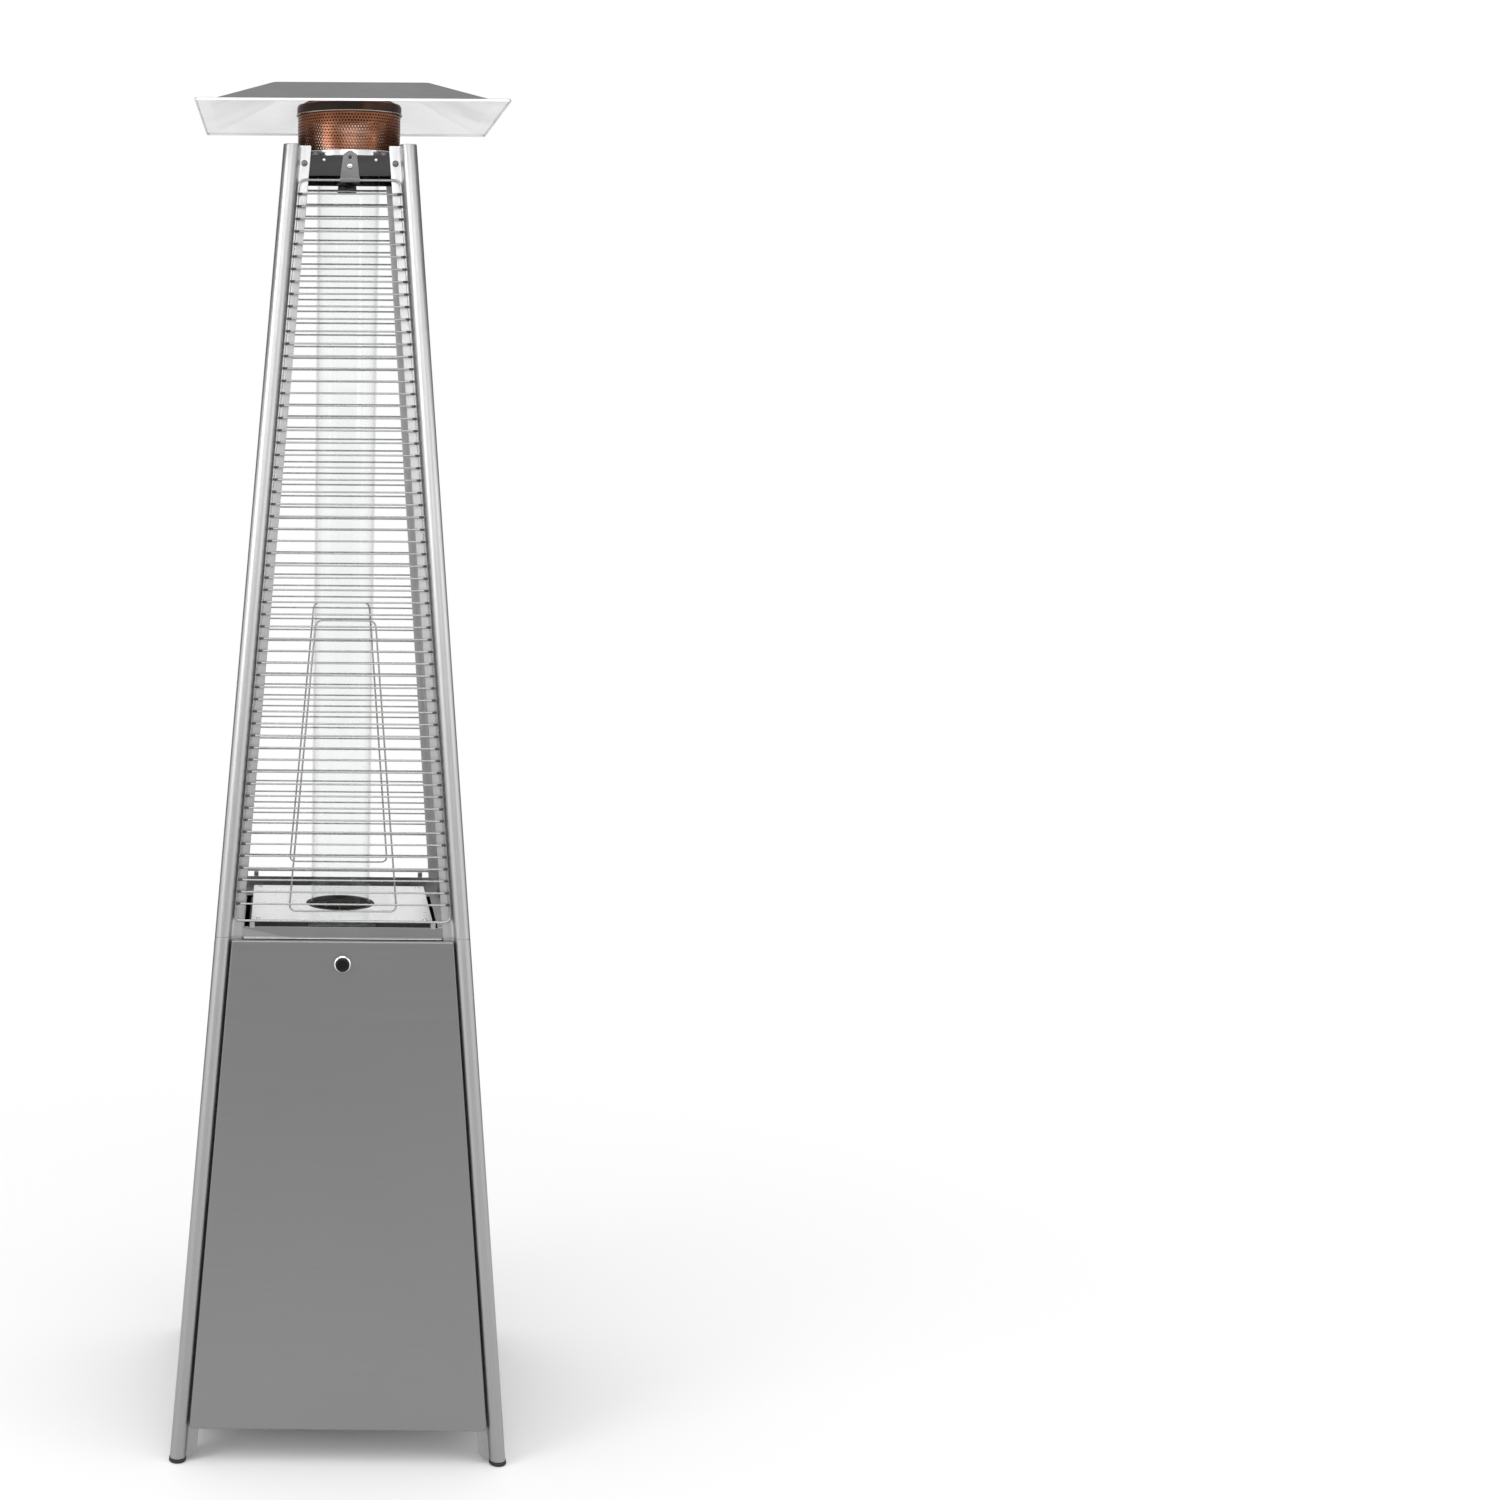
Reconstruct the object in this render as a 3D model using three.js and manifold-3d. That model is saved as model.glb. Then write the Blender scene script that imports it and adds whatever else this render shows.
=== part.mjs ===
// Pyramid patio heater: four leaning legs carry a gas burner, a glass flame tube with wire guards
// and a square reflector. Millimetres, +Z up, the door faces -Y.

import * as THREE from 'three';
import { mergeVertices } from 'three/addons/utils/BufferGeometryUtils.js';
import Module from 'manifold-3d';

const wasm = await Module();
wasm.setup();

// Overall form
const BASE_WIDTH = 569; // across the legs at the floor
const TOP_WIDTH = 215; // across the legs at their top
const LEG_TOP = 2183;
const SEAM = 894; // height at which the upper legs stand on the lower ones
const GAP = 0.3; // between pieces that touch
const OVERRUN = 5; // of a cut past the face that it opens

// Legs: a round tube at the corner with two flat fins
const LEG_RADIUS = 13.5;
const LEG_WALL = 1.5;
const FIN_REACH = 45; // from the leg's outer side to a fin's free edge
const FIN_SETBACK = 13; // of a fin behind the leg's outer side
const FIN_WALL = 1.2;
const FIN_CHAMFER = 10;
const FIN_TOP_DROP = 2.5; // of an upper leg's fins below its tube's end
const FIN_WELD = 0.8; // how far a fin enters the tube's wall
const SPIGOT_REACH = 60; // above and below the seam
const SPIGOT_WALL = 1.5;
const FOOT_HEIGHT = 7;
const FOOT_LIP = 1; // of the rubber foot outside the tube
const FOOT_ROUND = 2;
const FOOT_PLUG = 18;

// Door and panels
const PANEL_BOTTOM = 60;
const PANEL_TOP_DROP = 4.5; // below the seam
const PANEL_SETBACK = 1.5; // behind the legs' outer side
const PANEL_CLEARANCE = 1.5; // between a panel's edge and the leg's tube
const PANEL_WALL = 1.2;
const PANEL_CORNER = 10;
const DOOR_DEPTH = 8.5;

// Door hinge
const HINGE_RISE = 3.5; // above the door's lower edge
const HINGE_SETBACK = 6.5; // behind the legs' outer side
const HINGE_HALF_SPACING = 150;
const HINGE_TIP = 3.4; // outer radius of an ear or a lug
const HINGE_STRAP = 4; // height of an ear or a lug above the axis
const HINGE_WALL = 2.5;
const HINGE_SIDE_GAP = 0.6;
const PIN_RADIUS = 2;
const PIN_HEAD_RADIUS = 3.2;
const PIN_HEAD = 1.5;

// Door latch
const LATCH_DROP = 38; // below the door's upper edge
const BEZEL_RADIUS = 14;
const BEZEL_HEIGHT = 2.5;
const LATCH_BARREL_RADIUS = 9;
const LATCH_BARREL = 21;
const LATCH_SHAFT_RADIUS = 4;
const LATCH_KNOB_RADIUS = 11.5;
const LATCH_KNOB = 10;
const LATCH_KNOB_ROUND = 2;
const CAM_LENGTH = 24;
const CAM_WIDTH = 12;
const CAM_WALL = 3;
const STRIKER_WIDTH = 60;
const STRIKER_DROP = 14; // below the burner shelf

// Base plate with its tank ring
const BASE_RISE = 14; // of the plate's top above the panels' lower edge
const BASE_WALL = 2;
const BASE_FLANGE = 16;
const BASE_FRONT_SETBACK = 20; // leaves room for the door to swing
const NOTCH_CLEARANCE = 1; // between a corner notch and the leg's tube
const TANK_RING_RADIUS = 104;
const TANK_RING_WALL = 2;
const TANK_RING_HEIGHT = 12;

// Wheels
const WHEEL_RADIUS = 30;
const WHEEL_WIDTH = 22;
const WHEEL_LIFT = 6; // above the floor while the heater stands
const WHEEL_BEHIND = 25.5; // axle behind the legs' outer side
const WHEEL_HALF_TRACK = 190;
const WHEEL_SHOULDER = 3;
const WHEEL_HUB_RADIUS = 10;
const WHEEL_TREAD = 9;
const WHEEL_WEB = 10;
const AXLE_RADIUS = 4;
const AXLE_HEAD_RADIUS = 7;
const AXLE_HEAD = 4;
const BRACKET_HALF_WIDTH = 167;
const BRACKET_WALL = 2;
const BRACKET_EAR = 8; // ear beyond the axle
const BRACKET_EAR_RISE = 14;

// Burner shelf between the legs
const SHELF_RISE = 16; // of its upper edge above the seam
const SHELF_HEIGHT = 30;
const SHELF_WALL = 1.5;
const LUG_HALF_SPACING = 150;
const LUG_WIDTH = 8;
const LUG_WALL = 1.5;

// Burner box and deck
const DECK_DROP = 3.5; // of its top below the shelf's upper edge
const DECK_WIDTH = 306;
const DECK_DEPTH = 272;
const DECK_WALL = 1.5;
const DECK_HOLE_RADIUS = 59.5;
const DECK_OVERHANG = 5;
const BOX_HEIGHT = 98;
const BOX_WALL = 1.2;
const BOX_FLANGE = 10;
const BOX_FIT = 0.4; // box in the shelf's opening

// Burner
const BOWL_FLANGE_RADIUS = 72;
const BOWL_WALL = 1.3;
const SEAT_DEPTH = 9; // of the seal's seat below the bowl's flange
const BOWL_RADIUS = 49.2;
const BOWL_DEPTH = 44; // below the seat
const CAP_RADIUS = 36;
const CAP_HEIGHT = 29;
const CAP_WALL = 1.2;
const CAP_HOLE_RADIUS = 4;
const CAP_HOLE_CIRCLE = 26;
const CAP_HOLES = 10;
const PROBE_CIRCLE = 42;
const PROBE_RADIUS = 3;
const PROBE_COLLAR_RADIUS = 4.5;
const PROBE_COLLAR = 4;
const PROBE_TAIL = 15;
const PROBE_HEIGHT = 27;
const PROBE_TIP_RADIUS = 1.2;
const PROBE_TIP = 10;
const NOZZLE_RADIUS = 6;
const NOZZLE_FLANGE_RADIUS = 9;
const NOZZLE_FLANGE = 12.5;
const NOZZLE_HEIGHT = 24;
const NOZZLE_BORE = 1.5;

// Gas controls on the front of the burner box
const CONTROL_DROP = 59; // below the box's upper edge
const CONTROL_HALF_SPACING = 42;
const VALVE_WIDTH = 44;
const VALVE_DEPTH = 34;
const VALVE_HEIGHT = 36;
const STEM_RADIUS = 4;
const STEM_IN = 10; // inside the valve
const STEM_OUT = 17; // in front of the box
const STEM_CLEARANCE = 1; // in the box's wall
const KNOB_RADIUS = 19;
const KNOB_DEPTH = 22;
const KNOB_ROUND = 3;
const KNOB_TRAVEL = 4;
const KNOB_STANDOFF = 5; // between the knob and the box
const KNOB_GRIP_WIDTH = 8;
const KNOB_GRIP_RISE = 5;
const IGNITER_BEZEL_RADIUS = 12;
const IGNITER_BEZEL = 3;
const IGNITER_RADIUS = 9;
const IGNITER_LENGTH = 38;
const BUTTON_RADIUS = 6;
const BUTTON_OUT = 8;
const BUTTON_IN = 13;
const BUTTON_TRAVEL = 6;
const BUTTON_ROUND = 1.5;
const INLET_RADIUS = 6;
const INLET_NUT_RADIUS = 9;
const INLET_NUT = 9;
const INLET_REACH = 14; // below the box
const INLET_BORE = 2;
const PIPE_RADIUS = 4;
const PIPE_START_PULL = 80; // straightness where it leaves the valve
const PIPE_END_PULL = 57; // straightness where it enters the nozzle

// Glass tube and its rings
const GLASS_RADIUS = 51.5;
const GLASS_WALL = 2.5;
const GLASS_TOP_DROP = 6; // below the head plate's top
const SEAL_FLOOR = 3.4;
const SEAL_PROUD = 0.5; // of the deck
const SEAL_FIT = 0.5; // around the glass
const RING_SLEEVE = 18;
const RING_WALL = 3.8;
const RING_FLANGE_RADIUS = 64;
const RING_FLANGE = 1.7;

// Wire guards and their clips
const GUARD_WIRE = 4;
const GUARD_CROSS = 3;
const GUARD_THICKNESS = 3.2;
const GUARD_CORNER = 13;
const GUARD_SIDE_GAP = 1.5; // between a guard and the leg's tube
const GUARD_TOP_DROP = 7.2; // below the head plate's flange
const GUARD_BOTTOM_RISE = 10.8; // above the shelf
const GUARD_PITCH = 19.9;
const GUARD_FIRST = 22.4; // first cross wire below the top bar
const LOOP_TOP_DROP = 708.8; // inner loop below the top bar
const LOOP_BOTTOM_RISE = 16.8; // inner loop above the bottom bar
const LOOP_TOP_WIDTH = 98;
const LOOP_BOTTOM_WIDTH = 178;
const CLIP_WIDTH = 32;
const CLIP_TOP_WIDTH = 22;
const CLIP_TIP_WIDTH = 5;
const CLIP_WALL = 1.5;
const CLIP_TIP = 6;
const CLIP_HOOK = 6;
const CLIP_RISE = 7.5; // above the head plate

// Head plate
const HEAD_DROP = 17; // of its top below the legs' top
const HEAD_FLANGE = 32.5;
const HEAD_WALL = 1.5;
const HEAD_HOLE_FIT = 0.4;

// Flame screen
const SCREEN_RADIUS = 84.5;
const SCREEN_WALL = 1.2;
const SCREEN_RING_HEIGHT = 10;
const SCREEN_RING_LIP = 1;
const SCREEN_RING_FOOT = 16;
const SCREEN_RING_WALL = 1.5;
const HOOD_SKIRT = 18;
const HOOD_SHOULDER = 15;
const HOOD_TOP_RADIUS = 52;
const HOOD_WALL = 1.2;
const HOOD_BEAD = 1;
const HOOD_BEAD_HEIGHT = 3;

// Reflector and its studs
const REFLECTOR_TOP_RISE = 94; // above the legs' top
const REFLECTOR_WIDTH = 490;
const REFLECTOR_RIM = 22;
const REFLECTOR_FLAT = 243;
const REFLECTOR_HEIGHT = 40;
const REFLECTOR_HEM = 4.5;
const REFLECTOR_WALL = 1.2;
const STUD_RADIUS = 3;
const STUD_CIRCLE = 42;
const STUD_COUNT = 3;
const STUD_SPACER_RADIUS = 6;
const STUD_SPACER = 6;
const STUD_END = 2; // beyond the nut
const NUT_RADIUS = 6;
const NUT_HEIGHT = 6;

// Facets of round pieces
const FINE = 24;
const MEDIUM = 16;
const COARSE = 12;
const HEX = 6;
const QUARTER = Math.PI / 2;

// Levels and planes that follow from the sizes above
const LEAN = (BASE_WIDTH - TOP_WIDTH) / 2 / LEG_TOP; // inward travel per millimetre of height
const halfAt = (z) => BASE_WIDTH / 2 - LEAN * z;
const finInside = (z) => halfAt(z) - FIN_SETBACK - FIN_WALL - GAP;
const notchAt = (z) => halfAt(z) - 2 * LEG_RADIUS - NOTCH_CLEARANCE;
const LEAN_ANGLE = Math.atan(LEAN);
const PANEL_TOP = SEAM - PANEL_TOP_DROP;
const PANEL_EDGE = 2 * LEG_RADIUS + PANEL_CLEARANCE;
const PANEL_DEPTH = FIN_SETBACK - PANEL_SETBACK - GAP;
const HINGE_Z = PANEL_BOTTOM + HINGE_RISE;
const HINGE_Y = HINGE_SETBACK - halfAt(HINGE_Z);
const LATCH_Z = PANEL_TOP - LATCH_DROP;
const LATCH_Y = PANEL_SETBACK - halfAt(LATCH_Z);
const BASE_TOP = PANEL_BOTTOM + BASE_RISE;
const BASE_HALF = finInside(BASE_TOP);
const BASE_FRONT = BASE_FRONT_SETBACK - halfAt(BASE_TOP);
const AXLE_Z = WHEEL_RADIUS + WHEEL_LIFT;
const AXLE_Y = BASE_WIDTH / 2 + WHEEL_BEHIND;
const SHELF_TOP = SEAM + SHELF_RISE;
const SHELF_BOTTOM = SHELF_TOP - SHELF_HEIGHT;
const SHELF_HALF = finInside(SHELF_TOP);
const DECK_TOP = SHELF_TOP - DECK_DROP;
const BOX_TOP = DECK_TOP - DECK_WALL - GAP;
const BOX_HALF_X = DECK_WIDTH / 2 - DECK_OVERHANG;
const BOX_HALF_Y = DECK_DEPTH / 2 - DECK_OVERHANG;
const SEAT_Z = BOX_TOP - SEAT_DEPTH;
const BOWL_FLOOR = SEAT_Z - BOWL_DEPTH;
const SEAL_RADIUS = DECK_HOLE_RADIUS - GAP;
const NOZZLE_BOTTOM = BOWL_FLOOR - BOWL_WALL - GAP - NOZZLE_FLANGE;
const CONTROL_Z = BOX_TOP - CONTROL_DROP;
const VALVE_FRONT = BOX_WALL + GAP - BOX_HALF_Y;
const HEAD_TOP = LEG_TOP - HEAD_DROP;
const HEAD_BOTTOM = HEAD_TOP - HEAD_FLANGE;
const HEAD_HALF = finInside(HEAD_TOP);
const GLASS_BOTTOM = SEAT_Z + GAP + SEAL_FLOOR + GAP;
const GLASS_TOP = HEAD_TOP - GLASS_TOP_DROP;
const RING_BORE = GLASS_RADIUS + SEAL_FIT;
const GUARD_TOP = HEAD_BOTTOM - GUARD_TOP_DROP;
const GUARD_BOTTOM = SHELF_TOP + GUARD_BOTTOM_RISE;
const GUARD_SETBACK = FIN_SETBACK - GAP - GUARD_THICKNESS / 2; // the guards lie on the fins
const guardPlane = (z) => halfAt(z) - GUARD_SETBACK;
const guardEdge = (z) => halfAt(z) - 2 * LEG_RADIUS - GUARD_SIDE_GAP;
const SCREEN_BOTTOM = HEAD_TOP + GAP + SCREEN_RING_HEIGHT + GAP;
const REFLECTOR_TOP = LEG_TOP + REFLECTOR_TOP_RISE;
const HOOD_TOP = REFLECTOR_TOP - REFLECTOR_WALL - GAP - STUD_SPACER;
const HOOD_RADIUS = SCREEN_RADIUS + GAP + HOOD_WALL;

// Finishes
const FINISHES = {
  brushed_steel: [0xb9babb, 0.34, 0.9],
  satin_panel: [0x808183, 0.42, 0.85],
  bright_steel: [0xd8d9da, 0.18, 1],
  aluminium: [0xc9cacb, 0.4, 0.8],
  copper_screen: [0x9c5a3c, 0.45, 0.8],
  scorched_steel: [0x3a302c, 0.5, 0.7],
  dark_plate: [0x4c4d4f, 0.55, 0.5],
  chrome_wire: [0xc4c4c2, 0.22, 1],
  brass: [0xb08d46, 0.35, 0.9],
  ceramic: [0xe8e3d8, 0.5, 0],
  black_plastic: [0x101012, 0.4, 0],
  black_rubber: [0x161616, 0.8, 0],
  clear_glass: [0xe6eeee, 0.03, 0],
};

// Joining and cutting
function solid(geometry) {
  const bare = geometry.clone();
  bare.deleteAttribute('normal');
  bare.deleteAttribute('uv');
  const merged = mergeVertices(bare);
  const corners = merged.index.array;
  const triangles = [];
  for (let i = 0; i < corners.length; i += 3) {
    const [a, b, c] = [corners[i], corners[i + 1], corners[i + 2]];
    if (a !== b && b !== c && c !== a) triangles.push(a, b, c);
  }
  const vertProperties = merged.getAttribute('position').array;
  const triVerts = new Uint32Array(triangles);
  return new wasm.Manifold(new wasm.Mesh({ numProp: 3, vertProperties, triVerts }));
}

function geometryOf(manifold) {
  const mesh = manifold.getMesh();
  const geometry = new THREE.BufferGeometry();
  geometry.setAttribute('position', new THREE.BufferAttribute(mesh.vertProperties, mesh.numProp));
  geometry.setIndex(new THREE.BufferAttribute(mesh.triVerts, 1));
  const facets = geometry.toNonIndexed();
  facets.computeVertexNormals();
  return facets;
}

function join(...geometries) {
  return geometryOf(geometries.map(solid).reduce((whole, next) => whole.add(next)));
}

function cut(geometry, ...tools) {
  return geometryOf(tools.map(solid).reduce((left, tool) => left.subtract(tool), solid(geometry)));
}

function common(first, second) {
  return geometryOf(solid(first).intersect(solid(second)));
}

// Basic forms
function block([x0, x1], [y0, y1], [z0, z1]) {
  const box = new THREE.BoxGeometry(x1 - x0, y1 - y0, z1 - z0);
  return box.translate((x0 + x1) / 2, (y0 + y1) / 2, (z0 + z1) / 2);
}

// A closed profile of [radius, height] pairs, turned about Z.
function turned(profile, sides) {
  const points = profile.map(([radius, height]) => new THREE.Vector2(radius, height));
  points.push(points[0].clone());
  return new THREE.LatheGeometry(points, sides).rotateX(QUARTER);
}

// A turned form with its axis laid from front to back.
function turnedY(profile, sides) {
  return turned(profile, sides).rotateX(-QUARTER);
}

// A turned form with its axis laid from left to right.
function turnedX(profile, sides) {
  return turned(profile, sides).rotateY(QUARTER);
}

function disc(radius, low, high, sides) {
  return new THREE.CylinderGeometry(radius, radius, high - low, sides)
    .rotateX(QUARTER)
    .translate(0, 0, (low + high) / 2);
}

function outline(points) {
  return new THREE.Shape(points.map(([x, y]) => new THREE.Vector2(x, y)));
}

// An outline drawn in X and height, given a thickness towards +Y.
function standing(shape, thickness) {
  const settings = { depth: thickness, bevelEnabled: false, curveSegments: 3 };
  return new THREE.ExtrudeGeometry(shape, settings).rotateX(QUARTER).translate(0, thickness, 0);
}

// An outline drawn in depth and height, given a thickness towards +X.
function sideways(shape, thickness) {
  return standing(shape, thickness).rotateZ(QUARTER).translate(thickness, 0, 0);
}

// Leaning with the faces (towards +Y as it rises) or with a corner (towards the axis)
function lean(geometry, alongX, alongY) {
  const matrix = new THREE.Matrix4().set(1, 0, alongX, 0, 0, 1, alongY, 0, 0, 0, 1, 0, 0, 0, 0, 1);
  return geometry.applyMatrix4(matrix);
}

const leanFace = (geometry) => lean(geometry.translate(0, -BASE_WIDTH / 2, 0), 0, LEAN);
const leanCorner = (geometry) => lean(geometry, -LEAN, -LEAN);

// A square shell of sheet, open below, with its corners notched for the legs
function squareShell(half, front, low, high, wall, notch) {
  const shell = cut(
    block([-half, half], [front, half], [low, high]),
    block([wall - half, half - wall], [front + wall, half - wall], [low - OVERRUN, high - wall]),
  );
  const spans = [[-half - OVERRUN, -notch], [notch, half + OVERRUN]];
  const notches = spans.flatMap((x) => spans.map((y) => block(x, y, [low - OVERRUN, high + OVERRUN])));
  return cut(shell, ...notches);
}

// Legs
function fin(low, high, chamfer) {
  const edge = BASE_WIDTH / 2 - FIN_REACH;
  const root = BASE_WIDTH / 2 - 2 * LEG_RADIUS + FIN_WELD;
  return outline([[edge + chamfer, low], [root, low], [root, high], [edge, high], [edge, low + chamfer]]);
}

function legGeometry(low, high, chamfer, drop) {
  const centre = BASE_WIDTH / 2 - LEG_RADIUS;
  const face = BASE_WIDTH / 2 - FIN_SETBACK;
  const bore = LEG_RADIUS - LEG_WALL;
  const tube = turned([[bore, low], [LEG_RADIUS, low], [LEG_RADIUS, high], [bore, high]], COARSE);
  const shape = fin(low, high - drop, chamfer);
  const finAcross = standing(shape, FIN_WALL).translate(0, face - FIN_WALL, 0);
  const finBack = sideways(shape, FIN_WALL).translate(face - FIN_WALL, 0, 0);
  return join(tube.translate(centre, centre, 0), finAcross, finBack);
}

function lowerLeg() {
  const centre = BASE_WIDTH / 2 - LEG_RADIUS;
  const bore = LEG_RADIUS - LEG_WALL;
  const fitted = bore - GAP;
  const inner = fitted - SPIGOT_WALL;
  const spigot = turned([
    [inner, SEAM - SPIGOT_REACH],
    [bore + GAP, SEAM - SPIGOT_REACH],
    [bore + GAP, SEAM - LEG_WALL],
    [fitted, SEAM - LEG_WALL],
    [fitted, SEAM + SPIGOT_REACH],
    [inner, SEAM + SPIGOT_REACH],
  ], COARSE);
  const leg = legGeometry(FOOT_HEIGHT + GAP, SEAM, FIN_CHAMFER, 0);
  return leanCorner(join(leg, spigot.translate(centre, centre, 0)));
}

function upperLeg() {
  return leanCorner(legGeometry(SEAM + GAP, LEG_TOP, 0, FIN_TOP_DROP));
}

function footCap() {
  const centre = BASE_WIDTH / 2 - LEG_RADIUS;
  const plug = LEG_RADIUS - LEG_WALL - GAP;
  const rim = LEG_RADIUS + FOOT_LIP;
  const cap = turned([
    [0, 0],
    [rim - FOOT_ROUND, 0],
    [rim, FOOT_ROUND],
    [rim, FOOT_HEIGHT],
    [plug, FOOT_HEIGHT],
    [plug, FOOT_HEIGHT + FOOT_PLUG],
    [0, FOOT_HEIGHT + FOOT_PLUG],
  ], COARSE);
  return leanCorner(cap.translate(centre, centre, 0));
}

// Door and panels
function trapezoid(low, high, inset, corner) {
  const foot = halfAt(low) - PANEL_EDGE - inset;
  const head = halfAt(high) - PANEL_EDGE - inset;
  const shape = new THREE.Shape();
  shape.moveTo(corner - foot, low);
  shape.lineTo(foot - corner, low);
  shape.quadraticCurveTo(foot, low, foot - LEAN * corner, low + corner);
  shape.lineTo(head, high);
  shape.lineTo(-head, high);
  shape.lineTo(LEAN * corner - foot, low + corner);
  shape.quadraticCurveTo(-foot, low, corner - foot, low);
  return shape;
}

function tray(depth) {
  const outer = standing(trapezoid(PANEL_BOTTOM, PANEL_TOP, 0, PANEL_CORNER), depth);
  const low = PANEL_BOTTOM + PANEL_WALL;
  const high = PANEL_TOP - PANEL_WALL;
  const inner = trapezoid(low, high, PANEL_WALL, PANEL_CORNER - PANEL_WALL);
  return cut(outer, standing(inner, depth).translate(0, PANEL_WALL, 0)).translate(0, PANEL_SETBACK, 0);
}

function hingeHole(clearance) {
  const radius = PIN_RADIUS + clearance;
  const reach = HINGE_HALF_SPACING * 2;
  return turnedX([[0, -reach], [radius, -reach], [radius, reach], [0, reach]], COARSE)
    .translate(0, HINGE_Y, HINGE_Z);
}

// A hinge tab in depth and height, from its round tip at the pin to the piece that carries it.
function hingeTab(x, reach, drop) {
  const strap = outline([[0, -drop], [reach, -drop], [reach, HINGE_STRAP], [0, HINGE_STRAP]]);
  const tip = new THREE.Shape().absarc(0, 0, HINGE_TIP, 0, 2 * Math.PI);
  return join(sideways(strap, HINGE_WALL), sideways(tip, HINGE_WALL)).translate(x, HINGE_Y, HINGE_Z);
}

const hingeSides = [-1, 1].map((side) => side * HINGE_HALF_SPACING - HINGE_WALL / 2);

function door() {
  const back = PANEL_SETBACK + PANEL_WALL - HINGE_SETBACK;
  const lugReach = back - PANEL_WALL / 2;
  const lugs = hingeSides.map((x) => {
    const lugX = x + HINGE_WALL + HINGE_SIDE_GAP;
    const strap = outline([[lugReach, 0], [0, 0], [0, HINGE_STRAP], [lugReach, HINGE_STRAP]]);
    const tip = new THREE.Shape().absarc(0, 0, HINGE_TIP, 0, 2 * Math.PI);
    return join(sideways(strap, HINGE_WALL), sideways(tip, HINGE_WALL)).translate(lugX, HINGE_Y, HINGE_Z);
  });
  const slots = hingeSides.map((x) => block(
    [x - HINGE_WALL, x + HINGE_WALL + HINGE_SIDE_GAP / 2],
    [HINGE_Y + back, HINGE_Y + DOOR_DEPTH],
    [PANEL_BOTTOM - OVERRUN, PANEL_BOTTOM + HINGE_RISE],
  ));
  const barrelHole = tilted(turnedY([
    [0, -OVERRUN],
    [LATCH_BARREL_RADIUS + GAP, -OVERRUN],
    [LATCH_BARREL_RADIUS + GAP, PANEL_WALL + OVERRUN],
    [0, PANEL_WALL + OVERRUN],
  ], MEDIUM));
  const sheet = cut(leanFace(tray(DOOR_DEPTH)), ...slots, barrelHole);
  return cut(join(sheet, ...lugs), hingeHole(GAP));
}

function panel() {
  return leanFace(tray(PANEL_DEPTH));
}

function hingePin() {
  const end = HINGE_WALL * 2 + HINGE_SIDE_GAP + GAP;
  return turnedX([
    [0, -PIN_HEAD - GAP],
    [PIN_HEAD_RADIUS, -PIN_HEAD - GAP],
    [PIN_HEAD_RADIUS, -GAP],
    [PIN_RADIUS, -GAP],
    [PIN_RADIUS, end + PIN_HEAD],
    [0, end + PIN_HEAD],
  ], COARSE);
}

// Latch pieces are drawn along Y with the door's outer face at zero, then tilted into the door.
function tilted(geometry) {
  return geometry.rotateX(-LEAN_ANGLE).translate(0, LATCH_Y, LATCH_Z);
}

function latchBezel() {
  const bore = LATCH_SHAFT_RADIUS + GAP;
  return tilted(turnedY([
    [bore, -GAP - BEZEL_HEIGHT],
    [BEZEL_RADIUS - BEZEL_HEIGHT / 2, -GAP - BEZEL_HEIGHT],
    [BEZEL_RADIUS, -GAP - BEZEL_HEIGHT / 2],
    [BEZEL_RADIUS, -GAP],
    [LATCH_BARREL_RADIUS, -GAP],
    [LATCH_BARREL_RADIUS, LATCH_BARREL],
    [bore, LATCH_BARREL],
  ], MEDIUM));
}

function latchKnob() {
  const back = -2 * GAP - BEZEL_HEIGHT;
  const front = back - LATCH_KNOB;
  const end = LATCH_BARREL + GAP + 2 * CAM_WALL;
  return tilted(turnedY([
    [0, front],
    [LATCH_KNOB_RADIUS - LATCH_KNOB_ROUND, front],
    [LATCH_KNOB_RADIUS, front + LATCH_KNOB_ROUND],
    [LATCH_KNOB_RADIUS, back],
    [LATCH_SHAFT_RADIUS, back],
    [LATCH_SHAFT_RADIUS, end],
    [0, end],
  ], MEDIUM));
}

function latchCam() {
  const low = LATCH_BARREL + GAP;
  const bore = LATCH_SHAFT_RADIUS + GAP;
  const bar = block([0, CAM_LENGTH], [low, low + CAM_WALL], [-CAM_WIDTH / 2, CAM_WIDTH / 2]);
  const hub = turnedY([
    [0, low],
    [CAM_WIDTH / 2, low],
    [CAM_WIDTH / 2, low + 2 * CAM_WALL],
    [0, low + 2 * CAM_WALL],
  ], COARSE);
  const hole = turnedY([
    [0, low - OVERRUN],
    [bore, low - OVERRUN],
    [bore, low + OVERRUN * 2],
    [0, low + OVERRUN * 2],
  ], COARSE);
  return tilted(cut(join(bar, hub), hole));
}

// Base plate, tank ring and hinge ears
function basePlate() {
  const bottom = BASE_TOP - BASE_FLANGE;
  const shell = squareShell(BASE_HALF, BASE_FRONT, bottom, BASE_TOP, BASE_WALL, notchAt(BASE_TOP));
  const ringInside = TANK_RING_RADIUS - TANK_RING_WALL;
  const ring = turned([
    [ringInside, BASE_TOP - BASE_WALL / 2],
    [TANK_RING_RADIUS, BASE_TOP - BASE_WALL / 2],
    [TANK_RING_RADIUS, BASE_TOP + TANK_RING_HEIGHT],
    [ringInside, BASE_TOP + TANK_RING_HEIGHT],
  ], MEDIUM);
  const reach = BASE_FRONT - HINGE_Y + BASE_WALL / 2;
  const ears = hingeSides.map((x) => hingeTab(x, reach, HINGE_TIP));
  return cut(join(shell, ring, ...ears), hingeHole(GAP));
}

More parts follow.
